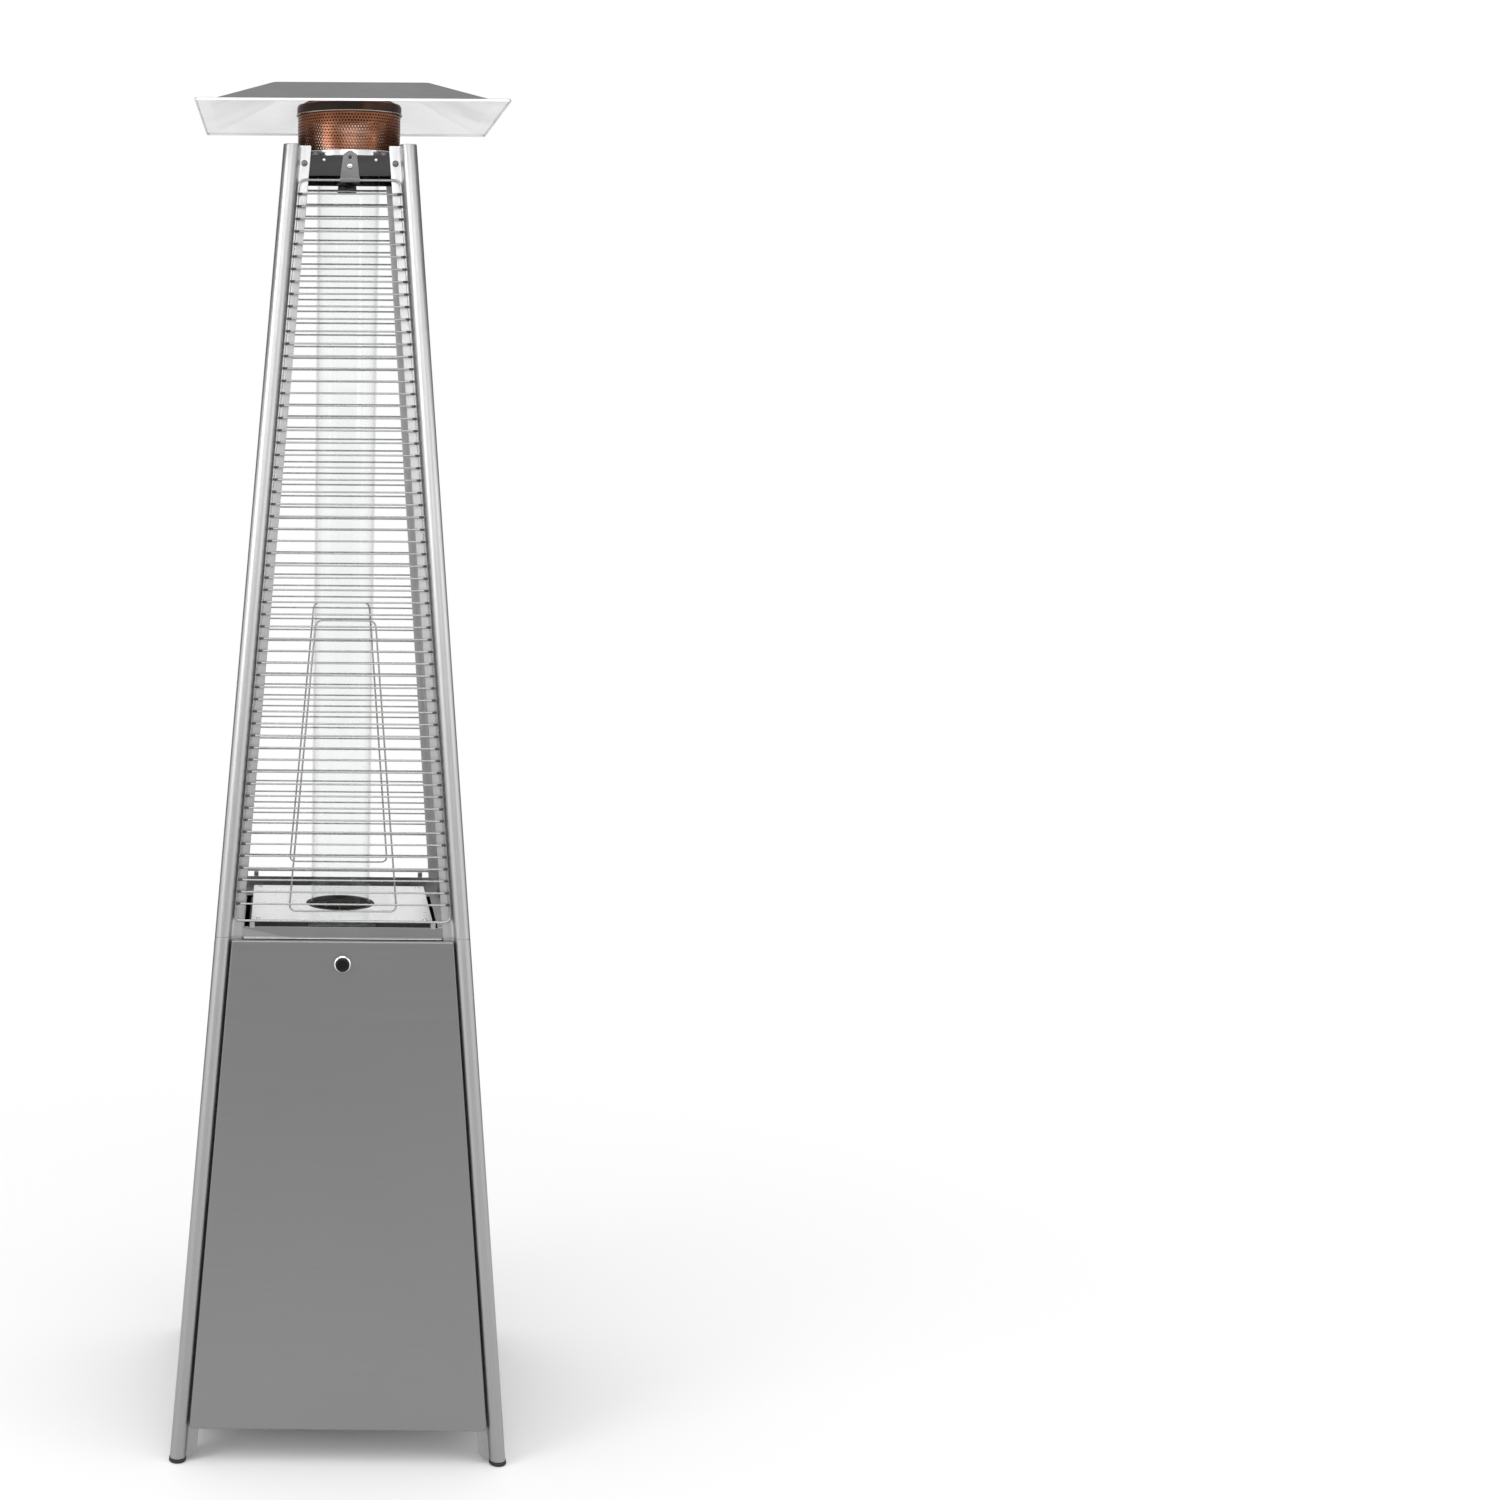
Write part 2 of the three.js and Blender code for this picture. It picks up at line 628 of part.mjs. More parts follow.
// Wheels
function wheel() {
  const half = WHEEL_WIDTH / 2;
  const bore = AXLE_RADIUS + GAP;
  const tread = WHEEL_RADIUS - WHEEL_TREAD;
  const web = WHEEL_WEB / 2;
  return turnedX([
    [bore, -half],
    [WHEEL_HUB_RADIUS, -half],
    [WHEEL_HUB_RADIUS, -web],
    [tread, -web],
    [tread, -half],
    [WHEEL_RADIUS - WHEEL_SHOULDER, -half],
    [WHEEL_RADIUS, WHEEL_SHOULDER - half],
    [WHEEL_RADIUS, half - WHEEL_SHOULDER],
    [WHEEL_RADIUS - WHEEL_SHOULDER, half],
    [tread, half],
    [tread, web],
    [WHEEL_HUB_RADIUS, web],
    [WHEEL_HUB_RADIUS, half],
    [bore, half],
  ], MEDIUM);
}

function wheelAxle() {
  const end = WHEEL_HALF_TRACK + WHEEL_WIDTH / 2 + GAP;
  return turnedX([
    [0, -end - AXLE_HEAD],
    [AXLE_HEAD_RADIUS, -end - AXLE_HEAD],
    [AXLE_HEAD_RADIUS, -end],
    [AXLE_RADIUS, -end],
    [AXLE_RADIUS, end],
    [AXLE_HEAD_RADIUS, end],
    [AXLE_HEAD_RADIUS, end + AXLE_HEAD],
    [0, end + AXLE_HEAD],
  ], COARSE);
}

function wheelBracket() {
  const back = BASE_HALF - BASE_WALL - GAP;
  const front = back - BRACKET_WALL;
  const top = BASE_TOP - BASE_WALL - GAP;
  const span = [-BRACKET_HALF_WIDTH, BRACKET_HALF_WIDTH];
  const plate = block(span, [front, back], [AXLE_Z - BRACKET_EAR, top]);
  const ears = [-BRACKET_HALF_WIDTH, BRACKET_HALF_WIDTH - BRACKET_WALL].map((x) => block(
    [x, x + BRACKET_WALL],
    [front, AXLE_Y + BRACKET_EAR],
    [AXLE_Z - BRACKET_EAR, AXLE_Z + BRACKET_EAR_RISE],
  ));
  const reach = BRACKET_HALF_WIDTH + OVERRUN;
  const radius = AXLE_RADIUS + GAP;
  const hole = turnedX([[0, -reach], [radius, -reach], [radius, reach], [0, reach]], COARSE);
  return cut(join(plate, ...ears), hole.translate(0, AXLE_Y, AXLE_Z));
}

// Burner shelf: an open tray between the legs, whose front wall shows above the door
function shelfLugs() {
  const seat = GUARD_BOTTOM - GUARD_WIRE / 2 - GAP;
  const plane = -guardPlane(GUARD_BOTTOM);
  return [-LUG_HALF_SPACING, LUG_HALF_SPACING].map((x) => {
    const span = [x - LUG_WIDTH / 2, x + LUG_WIDTH / 2];
    const front = plane - LUG_WALL / 2;
    const step = block(span, [front, SHELF_WALL - SHELF_HALF], [SHELF_TOP - LUG_WALL, SHELF_TOP]);
    const post = block(span, [front, front + LUG_WALL], [SHELF_TOP - LUG_WALL, seat]);
    return join(step, post);
  });
}

function burnerShelf() {
  const notch = notchAt(SHELF_TOP);
  const height = SHELF_TOP - SHELF_BOTTOM;
  const upturned = squareShell(SHELF_HALF, -SHELF_HALF, 0, height, SHELF_WALL, notch)
    .rotateX(Math.PI)
    .translate(0, 0, SHELF_TOP);
  const opening = block(
    [-BOX_HALF_X - BOX_FIT, BOX_HALF_X + BOX_FIT],
    [-BOX_HALF_Y - BOX_FIT, BOX_HALF_Y + BOX_FIT],
    [SHELF_BOTTOM - OVERRUN, SHELF_BOTTOM + OVERRUN],
  );
  const striker = block(
    [-STRIKER_WIDTH / 2, STRIKER_WIDTH / 2],
    [-SHELF_HALF, SHELF_WALL - SHELF_HALF],
    [SHELF_BOTTOM - STRIKER_DROP, SHELF_BOTTOM + SHELF_WALL],
  );
  const lugs = [0, 1, 2, 3].flatMap((turn) => shelfLugs().map((lug) => lug.rotateZ(turn * QUARTER)));
  return join(cut(upturned, opening), striker, ...lugs);
}

// Burner box and deck
function boreY(radius, x, from, to) {
  return turnedY([[0, from], [radius, from], [radius, to], [0, to]], COARSE)
    .translate(x, 0, CONTROL_Z);
}

function burnerBox() {
  const bottom = BOX_TOP - BOX_HEIGHT;
  const flangeLow = SHELF_BOTTOM + SHELF_WALL + GAP;
  const flangeX = BOX_HALF_X + BOX_FLANGE;
  const flangeY = BOX_HALF_Y + BOX_FLANGE;
  const walls = join(
    block([-BOX_HALF_X, BOX_HALF_X], [-BOX_HALF_Y, BOX_HALF_Y], [bottom, BOX_TOP]),
    block([-flangeX, flangeX], [-flangeY, flangeY], [flangeLow, flangeLow + BOX_WALL]),
  );
  const inside = block(
    [BOX_WALL - BOX_HALF_X, BOX_HALF_X - BOX_WALL],
    [BOX_WALL - BOX_HALF_Y, BOX_HALF_Y - BOX_WALL],
    [bottom + BOX_WALL, BOX_TOP + OVERRUN],
  );
  const near = -BOX_HALF_Y - OVERRUN;
  const far = OVERRUN - BOX_HALF_Y;
  const inletY = VALVE_FRONT + VALVE_DEPTH / 2;
  const inletHole = disc(INLET_NUT_RADIUS + GAP, bottom - OVERRUN, bottom + OVERRUN, COARSE)
    .translate(-CONTROL_HALF_SPACING, inletY, 0);
  return cut(
    walls,
    inside,
    boreY(STEM_RADIUS + STEM_CLEARANCE, -CONTROL_HALF_SPACING, near, far),
    boreY(IGNITER_RADIUS + GAP, CONTROL_HALF_SPACING, near, far),
    inletHole,
  );
}

function deck() {
  const plate = block(
    [-DECK_WIDTH / 2, DECK_WIDTH / 2],
    [-DECK_DEPTH / 2, DECK_DEPTH / 2],
    [DECK_TOP - DECK_WALL, DECK_TOP],
  );
  return cut(plate, disc(DECK_HOLE_RADIUS, DECK_TOP - OVERRUN, DECK_TOP + OVERRUN, FINE));
}

// Burner
function burnerBowl() {
  const rim = SEAL_RADIUS + GAP;
  const inner = BOWL_RADIUS - BOWL_WALL;
  const hole = NOZZLE_RADIUS + GAP;
  const bowl = turned([
    [hole, BOWL_FLOOR - BOWL_WALL],
    [BOWL_RADIUS, BOWL_FLOOR - BOWL_WALL],
    [BOWL_RADIUS, SEAT_Z - BOWL_WALL],
    [rim + BOWL_WALL, SEAT_Z - BOWL_WALL],
    [rim + BOWL_WALL, BOX_TOP - BOWL_WALL],
    [BOWL_FLANGE_RADIUS, BOX_TOP - BOWL_WALL],
    [BOWL_FLANGE_RADIUS, BOX_TOP],
    [rim, BOX_TOP],
    [rim, SEAT_Z],
    [inner, SEAT_Z],
    [inner, BOWL_FLOOR],
    [hole, BOWL_FLOOR],
  ], FINE);
  const probeHoles = [0, 1].map((turn) => disc(
    PROBE_RADIUS + GAP,
    BOWL_FLOOR - OVERRUN,
    BOWL_FLOOR + OVERRUN,
    COARSE,
  ).translate(PROBE_CIRCLE, 0, 0).rotateZ(turn * QUARTER));
  return cut(bowl, ...probeHoles);
}

function burnerCap() {
  const low = BOWL_FLOOR + GAP;
  const high = low + CAP_HEIGHT;
  const inner = CAP_RADIUS - CAP_WALL;
  const cap = turned([
    [inner, low],
    [CAP_RADIUS, low],
    [CAP_RADIUS, high],
    [0, high],
    [0, high - CAP_WALL],
    [inner, high - CAP_WALL],
  ], MEDIUM);
  const holes = [disc(CAP_HOLE_RADIUS, high - OVERRUN, high + OVERRUN, HEX)];
  for (let i = 0; i < CAP_HOLES; i += 1) {
    const hole = disc(CAP_HOLE_RADIUS, high - OVERRUN, high + OVERRUN, HEX);
    holes.push(hole.translate(CAP_HOLE_CIRCLE, 0, 0).rotateZ((i / CAP_HOLES) * 2 * Math.PI));
  }
  return cut(cap, ...holes);
}

function probe() {
  const collarLow = BOWL_FLOOR + GAP;
  const top = BOWL_FLOOR + PROBE_HEIGHT;
  return turned([
    [0, BOWL_FLOOR - PROBE_TAIL],
    [PROBE_RADIUS, BOWL_FLOOR - PROBE_TAIL],
    [PROBE_RADIUS, collarLow],
    [PROBE_COLLAR_RADIUS, collarLow],
    [PROBE_COLLAR_RADIUS, collarLow + PROBE_COLLAR],
    [PROBE_RADIUS, collarLow + PROBE_COLLAR],
    [PROBE_RADIUS, top],
    [PROBE_TIP_RADIUS, top],
    [PROBE_TIP_RADIUS, top + PROBE_TIP],
    [0, top + PROBE_TIP],
  ], COARSE).translate(PROBE_CIRCLE, 0, 0);
}

function burnerNozzle() {
  const shoulder = NOZZLE_BOTTOM + NOZZLE_FLANGE;
  return turned([
    [NOZZLE_BORE, NOZZLE_BOTTOM],
    [NOZZLE_FLANGE_RADIUS, NOZZLE_BOTTOM],
    [NOZZLE_FLANGE_RADIUS, shoulder],
    [NOZZLE_RADIUS, shoulder],
    [NOZZLE_RADIUS, NOZZLE_BOTTOM + NOZZLE_HEIGHT],
    [NOZZLE_BORE, NOZZLE_BOTTOM + NOZZLE_HEIGHT],
  ], HEX * 2);
}

function gasPipe() {
  const start = new THREE.Vector3(-CONTROL_HALF_SPACING, VALVE_FRONT + VALVE_DEPTH + GAP, CONTROL_Z);
  const end = new THREE.Vector3(0, 0, NOZZLE_BOTTOM - GAP);
  const route = new THREE.CubicBezierCurve3(
    start,
    new THREE.Vector3(start.x, start.y + PIPE_START_PULL, start.z),
    new THREE.Vector3(end.x, end.y, end.z - PIPE_END_PULL),
    end,
  );
  const section = new THREE.Shape();
  for (let i = 0; i < HEX + 2; i += 1) {
    const angle = (i / (HEX + 2)) * 2 * Math.PI;
    const [x, y] = [PIPE_RADIUS * Math.cos(angle), PIPE_RADIUS * Math.sin(angle)];
    if (i === 0) section.moveTo(x, y);
    else section.lineTo(x, y);
  }
  return new THREE.ExtrudeGeometry(section, { steps: MEDIUM / 2, extrudePath: route });
}

// Gas controls
function gasValve() {
  const x = -CONTROL_HALF_SPACING;
  const body = block(
    [x - VALVE_WIDTH / 2, x + VALVE_WIDTH / 2],
    [VALVE_FRONT, VALVE_FRONT + VALVE_DEPTH],
    [CONTROL_Z - VALVE_HEIGHT / 2, CONTROL_Z + VALVE_HEIGHT / 2],
  );
  return cut(body, boreY(STEM_RADIUS + GAP, x, VALVE_FRONT - OVERRUN, VALVE_FRONT + STEM_IN + GAP));
}

function valveStem() {
  return boreY(STEM_RADIUS, -CONTROL_HALF_SPACING, -BOX_HALF_Y - STEM_OUT, VALVE_FRONT + STEM_IN);
}

function controlKnob() {
  const x = -CONTROL_HALF_SPACING;
  const back = -BOX_HALF_Y - KNOB_STANDOFF;
  const front = back - KNOB_DEPTH;
  const body = turnedY([
    [0, front],
    [KNOB_RADIUS - KNOB_ROUND, front],
    [KNOB_RADIUS, front + KNOB_ROUND],
    [KNOB_RADIUS, back],
    [0, back],
  ], MEDIUM);
  const grip = block(
    [-KNOB_GRIP_WIDTH / 2, KNOB_GRIP_WIDTH / 2],
    [front - KNOB_GRIP_RISE, front + KNOB_ROUND],
    [KNOB_ROUND - KNOB_RADIUS, KNOB_RADIUS - KNOB_ROUND],
  );
  const stemEnd = -BOX_HALF_Y - STEM_OUT;
  const bore = boreY(STEM_RADIUS + GAP, x, stemEnd - KNOB_TRAVEL - GAP, back + OVERRUN);
  return cut(join(body, grip).translate(x, 0, CONTROL_Z), bore);
}

function igniterBody() {
  const face = -BOX_HALF_Y - GAP;
  const front = face - IGNITER_BEZEL;
  const bore = BUTTON_RADIUS + GAP;
  const body = turnedY([
    [0, face + IGNITER_LENGTH],
    [0, front + BUTTON_IN + BUTTON_TRAVEL + GAP],
    [bore, front + BUTTON_IN + BUTTON_TRAVEL + GAP],
    [bore, front],
    [IGNITER_BEZEL_RADIUS, front],
    [IGNITER_BEZEL_RADIUS, face],
    [IGNITER_RADIUS, face],
    [IGNITER_RADIUS, face + IGNITER_LENGTH],
  ], MEDIUM);
  return body.translate(CONTROL_HALF_SPACING, 0, CONTROL_Z);
}

function igniterButton() {
  const front = -BOX_HALF_Y - GAP - IGNITER_BEZEL;
  const button = turnedY([
    [0, front - BUTTON_OUT],
    [BUTTON_RADIUS - BUTTON_ROUND, front - BUTTON_OUT],
    [BUTTON_RADIUS, front - BUTTON_OUT + BUTTON_ROUND],
    [BUTTON_RADIUS, front + BUTTON_IN],
    [0, front + BUTTON_IN],
  ], COARSE);
  return button.translate(CONTROL_HALF_SPACING, 0, CONTROL_Z);
}

function gasInlet() {
  const top = CONTROL_Z - VALVE_HEIGHT / 2 - GAP;
  const bottom = BOX_TOP - BOX_HEIGHT - INLET_REACH;
  const inlet = turned([
    [INLET_BORE, bottom],
    [INLET_RADIUS, bottom],
    [INLET_RADIUS, top - INLET_NUT],
    [INLET_NUT_RADIUS, top - INLET_NUT],
    [INLET_NUT_RADIUS, top],
    [INLET_BORE, top],
  ], HEX * 2);
  return inlet.translate(-CONTROL_HALF_SPACING, VALVE_FRONT + VALVE_DEPTH / 2, 0);
}

// Glass tube and its rings
function glassTube() {
  const inner = GLASS_RADIUS - GLASS_WALL;
  return turned([
    [inner, GLASS_BOTTOM],
    [GLASS_RADIUS, GLASS_BOTTOM],
    [GLASS_RADIUS, GLASS_TOP],
    [inner, GLASS_TOP],
  ], FINE);
}

function lowerSeal() {
  const low = SEAT_Z + GAP;
  const step = low + SEAL_FLOOR;
  const collar = GLASS_RADIUS + SEAL_FIT;
  const inner = BOWL_RADIUS - BOWL_WALL;
  return turned([
    [inner, low],
    [SEAL_RADIUS, low],
    [SEAL_RADIUS, DECK_TOP + SEAL_PROUD],
    [collar, DECK_TOP + SEAL_PROUD],
    [collar, step],
    [inner, step],
  ], FINE);
}

function upperRing() {
  const low = HEAD_TOP + GAP;
  const outer = RING_BORE + RING_WALL;
  return turned([
    [RING_BORE, low - RING_SLEEVE],
    [outer, low - RING_SLEEVE],
    [outer, low],
    [RING_FLANGE_RADIUS, low],
    [RING_FLANGE_RADIUS, low + RING_FLANGE],
    [RING_BORE, low + RING_FLANGE],
  ], FINE);
}

// Wire guards: a frame with cross wires, and a narrow inner loop in its lower part
function crossWireLevels() {
  const levels = [];
  const lowest = GUARD_BOTTOM + GUARD_WIRE / 2 + GUARD_CORNER;
  for (let z = GUARD_TOP - GUARD_FIRST; z > lowest; z -= GUARD_PITCH) levels.push(z);
  return levels;
}

const loopTop = GUARD_TOP - LOOP_TOP_DROP;
const loopBottom = GUARD_BOTTOM + LOOP_BOTTOM_RISE;

function loopHalfAt(z) {
  const share = (z - loopBottom) / (loopTop - loopBottom);
  return (LOOP_BOTTOM_WIDTH + (LOOP_TOP_WIDTH - LOOP_BOTTOM_WIDTH) * share) / 2;
}

// The openings between two levels, split where the inner loop's sides pass through them.
function openingsBetween(low, high) {
  const inner = (z) => guardEdge(z) - GUARD_WIRE;
  const strip = (left, right) => outline([
    [left(low), low],
    [right(low), low],
    [right(high), high],
    [left(high), high],
  ]);
  if (low < loopBottom - GUARD_CROSS || high > loopTop + GUARD_CROSS) {
    return [strip((z) => -inner(z), inner)];
  }
  const outside = (z) => loopHalfAt(z) + GUARD_CROSS / 2;
  const inside = (z) => loopHalfAt(z) - GUARD_CROSS / 2;
  return [
    strip((z) => -inner(z), (z) => -outside(z)),
    strip((z) => -inside(z), inside),
    strip(outside, inner),
  ];
}

function guardFrame() {
  const low = GUARD_BOTTOM - GUARD_WIRE / 2;
  const high = GUARD_TOP + GUARD_WIRE / 2;
  const foot = guardEdge(low);
  const head = guardEdge(high);
  const corner = GUARD_CORNER;
  const shape = new THREE.Shape();
  shape.moveTo(corner - foot, low);
  shape.lineTo(foot - corner, low);
  shape.quadraticCurveTo(foot, low, guardEdge(low + corner), low + corner);
  shape.lineTo(guardEdge(high - corner), high - corner);
  shape.quadraticCurveTo(head, high, head - corner, high);
  shape.lineTo(corner - head, high);
  shape.quadraticCurveTo(-head, high, -guardEdge(high - corner), high - corner);
  shape.lineTo(-guardEdge(low + corner), low + corner);
  shape.quadraticCurveTo(-foot, low, corner - foot, low);
  return shape;
}

function guard() {
  const shape = guardFrame();
  const bars = crossWireLevels().map((z) => [z - GUARD_CROSS / 2, z + GUARD_CROSS / 2]);
  bars.unshift([GUARD_TOP - GUARD_WIRE / 2, GUARD_TOP + GUARD_WIRE / 2]);
  bars.push([GUARD_BOTTOM - GUARD_WIRE / 2, GUARD_BOTTOM + GUARD_WIRE / 2]);
  const openings = bars.slice(1).flatMap((bar, i) => openingsBetween(bar[1], bars[i][0]));
  const tools = openings.map((opening) => standing(opening, 3 * GUARD_THICKNESS)
    .translate(0, -GUARD_THICKNESS, 0));
  const sheet = cut(standing(shape, GUARD_THICKNESS), ...tools);
  return leanFace(sheet.translate(0, GUARD_SETBACK - GUARD_THICKNESS / 2, 0));
}

function guardClip() {
  const back = -HEAD_HALF - GAP;
  const front = -guardPlane(GUARD_TOP) - GUARD_WIRE / 2 - 2 * GAP - CLIP_WALL;
  const low = GUARD_TOP + GUARD_WIRE / 2 + GAP;
  const top = HEAD_TOP + CLIP_RISE;
  const span = [-CLIP_WIDTH / 2, CLIP_WIDTH / 2];
  const strip = join(
    block(span, [back - CLIP_WALL, back], [low, top]),
    block(span, [front, back], [low, low + CLIP_WALL]),
    block(span, [front, front + CLIP_WALL], [low - CLIP_HOOK, low + CLIP_WALL]),
  );
  const half = CLIP_TOP_WIDTH / 2;
  const tip = CLIP_TIP_WIDTH / 2;
  const waist = CLIP_WIDTH / 2;
  const face = outline([
    [-waist, low - CLIP_HOOK],
    [waist, low - CLIP_HOOK],
    [waist, low],
    [half, top - CLIP_TIP],
    [tip, top],
    [-tip, top],
    [-half, top - CLIP_TIP],
    [-waist, low],
  ]);
  return common(strip, standing(face, back - front).translate(0, front, 0));
}

// Head plate: a square tray upside down, bolted between the upper legs
function headPlate() {
  const shell = squareShell(HEAD_HALF, -HEAD_HALF, HEAD_BOTTOM, HEAD_TOP, HEAD_WALL, notchAt(HEAD_TOP));
  const hole = disc(
    RING_BORE + RING_WALL + HEAD_HOLE_FIT,
    HEAD_TOP - OVERRUN,
    HEAD_TOP + OVERRUN,
    FINE,
  );
  return cut(shell, hole);
}

// Flame screen
function screenRing() {
  const low = HEAD_TOP + GAP;
  const outer = SCREEN_RADIUS + SCREEN_RING_LIP;
  const inner = outer - SCREEN_RING_WALL - SCREEN_RING_LIP;
  return turned([
    [inner - SCREEN_RING_FOOT, low],
    [outer, low],
    [outer, low + SCREEN_RING_HEIGHT],
    [inner, low + SCREEN_RING_HEIGHT],
    [inner, low + SCREEN_RING_WALL],
    [inner - SCREEN_RING_FOOT, low + SCREEN_RING_WALL],
  ], FINE);
}

function hoodShoulderAt(radius) {
  const share = (HOOD_RADIUS - radius) / (HOOD_RADIUS - HOOD_TOP_RADIUS);
  return HOOD_TOP - HOOD_SHOULDER * (1 - share);
}

function flameScreen() {
  const inner = SCREEN_RADIUS - SCREEN_WALL;
  const top = hoodShoulderAt(SCREEN_RADIUS) - HOOD_WALL - GAP;
  return turned([
    [inner, SCREEN_BOTTOM],
    [SCREEN_RADIUS, SCREEN_BOTTOM],
    [SCREEN_RADIUS, top],
    [inner, top],
  ], FINE);
}

function screenHood() {
  const shoulder = HOOD_TOP - HOOD_SHOULDER;
  const low = shoulder - HOOD_SKIRT;
  const inner = HOOD_RADIUS - HOOD_WALL;
  const hood = turned([
    [inner, low],
    [HOOD_RADIUS + HOOD_BEAD, low],
    [HOOD_RADIUS + HOOD_BEAD, low + HOOD_BEAD_HEIGHT],
    [HOOD_RADIUS, low + HOOD_BEAD_HEIGHT],
    [HOOD_RADIUS, shoulder],
    [HOOD_TOP_RADIUS, HOOD_TOP],
    [0, HOOD_TOP],
    [0, HOOD_TOP - HOOD_WALL],
    [HOOD_TOP_RADIUS, HOOD_TOP - HOOD_WALL],
    [inner, shoulder - HOOD_WALL / 2],
  ], FINE);
  const spacerTop = HOOD_TOP + STUD_SPACER;
  const studTop = REFLECTOR_TOP + GAP + NUT_HEIGHT + STUD_END;
  const studs = studAngles().map((angle) => turned([
    [0, HOOD_TOP - HOOD_WALL / 2],
    [STUD_SPACER_RADIUS, HOOD_TOP - HOOD_WALL / 2],
    [STUD_SPACER_RADIUS, spacerTop],
    [STUD_RADIUS, spacerTop],
    [STUD_RADIUS, studTop],
    [0, studTop],
  ], COARSE).translate(0, STUD_CIRCLE, 0).rotateZ(angle));
  return join(hood, ...studs);
}

function studAngles() {
  return Array.from({ length: STUD_COUNT }, (_, i) => (i / STUD_COUNT) * 2 * Math.PI);
}

// Reflector: a low square pyramid of sheet with a flat top, a flat rim and a hem
function reflector() {
  const rim = REFLECTOR_WIDTH / 2;
  const fold = rim - REFLECTOR_RIM;
  const flat = REFLECTOR_FLAT / 2;
  const rimTop = REFLECTOR_TOP - REFLECTOR_HEIGHT;
  const wall = REFLECTOR_WALL;
  const squareRadius = Math.SQRT2;
  const profile = [
    [0, REFLECTOR_TOP - wall],
    [flat, REFLECTOR_TOP - wall],
    [fold, rimTop - wall],
    [rim - wall, rimTop - wall],
    [rim - wall, rimTop - REFLECTOR_HEM],
    [rim, rimTop - REFLECTOR_HEM],
    [rim, rimTop],
    [fold, rimTop],
    [flat, REFLECTOR_TOP],
    [0, REFLECTOR_TOP],
  ];
  const corners = profile.map(([half, z]) => [half * squareRadius, z]);
  const sheet = turned(corners, 4).rotateZ(QUARTER / 2);
  const holes = studAngles().map((angle) => disc(
    STUD_RADIUS + GAP,
    REFLECTOR_TOP - OVERRUN,
    REFLECTOR_TOP + OVERRUN,
    COARSE,
  ).translate(0, STUD_CIRCLE, 0).rotateZ(angle));
  return cut(sheet, ...holes);
}

function reflectorNut() {
  const low = REFLECTOR_TOP + GAP;
  const bore = STUD_RADIUS + GAP;
  const nut = disc(NUT_RADIUS, low, low + NUT_HEIGHT, HEX);
  return cut(nut, disc(bore, low - OVERRUN, low + NUT_HEIGHT + OVERRUN, HEX * 2));
}

// Assembly
const heater = new THREE.Group();

function piece(name, finish, geometry, parent = heater) {
  const [color, roughness, metalness] = FINISHES[finish];
  const material = new THREE.MeshStandardMaterial({ color, roughness, metalness });
  const mesh = new THREE.Mesh(geometry, material);
  mesh.name = name;
  parent.add(mesh);
  return mesh;
}

function turnedGroup(turn) {
  const group = new THREE.Group();
  group.rotation.z = turn * QUARTER;
  heater.add(group);
  return group;
}

const corners = ['rear_right', 'rear_left', 'front_left', 'front_right'];
corners.forEach((corner, turn) => {
  const group = turnedGroup(turn);
  piece(`foot_cap_${corner}`, 'black_rubber', footCap(), group);
  piece(`lower_leg_${corner}`, 'brushed_steel', lowerLeg(), group);
  piece(`upper_leg_${corner}`, 'brushed_steel', upperLeg(), group);
});

const faces = ['front', 'right', 'rear', 'left'];
faces.forEach((face, turn) => {
  const group = turnedGroup(turn);
  piece(`guard_${face}`, 'chrome_wire', guard(), group);
  piece(`guard_clip_${face}`, 'bright_steel', guardClip(), group);
  if (face !== 'front') piece(`${face}_panel`, 'satin_panel', panel(), group);
});

piece('front_door', 'satin_panel', door());
['left', 'right'].forEach((side, i) => {
  const pin = piece(`door_hinge_pin_${side}`, 'bright_steel', hingePin());
  pin.position.set(hingeSides[i], HINGE_Y, HINGE_Z);
});
piece('latch_bezel', 'bright_steel', latchBezel());
piece('door_knob', 'black_plastic', latchKnob());
piece('latch_cam', 'bright_steel', latchCam());

piece('base_plate', 'brushed_steel', basePlate());
piece('wheel_bracket', 'dark_plate', wheelBracket());
piece('wheel_axle', 'bright_steel', wheelAxle()).position.set(0, AXLE_Y, AXLE_Z);
piece('wheel_left', 'black_rubber', wheel()).position.set(-WHEEL_HALF_TRACK, AXLE_Y, AXLE_Z);
piece('wheel_right', 'black_rubber', wheel()).position.set(WHEEL_HALF_TRACK, AXLE_Y, AXLE_Z);

piece('burner_shelf', 'brushed_steel', burnerShelf());
piece('burner_box', 'dark_plate', burnerBox());
piece('burner_deck', 'bright_steel', deck());
piece('burner_bowl', 'scorched_steel', burnerBowl());
piece('burner_cap', 'scorched_steel', burnerCap());
piece('igniter_electrode', 'ceramic', probe());
piece('thermocouple', 'brass', probe()).rotation.z = QUARTER;
piece('burner_nozzle', 'brass', burnerNozzle());
piece('gas_pipe', 'aluminium', gasPipe());
piece('gas_valve', 'aluminium', gasValve());
piece('gas_inlet', 'brass', gasInlet());
piece('valve_stem', 'bright_steel', valveStem());
piece('control_knob', 'black_plastic', controlKnob());
piece('igniter_body', 'black_plastic', igniterBody());
piece('igniter_button', 'black_plastic', igniterButton());

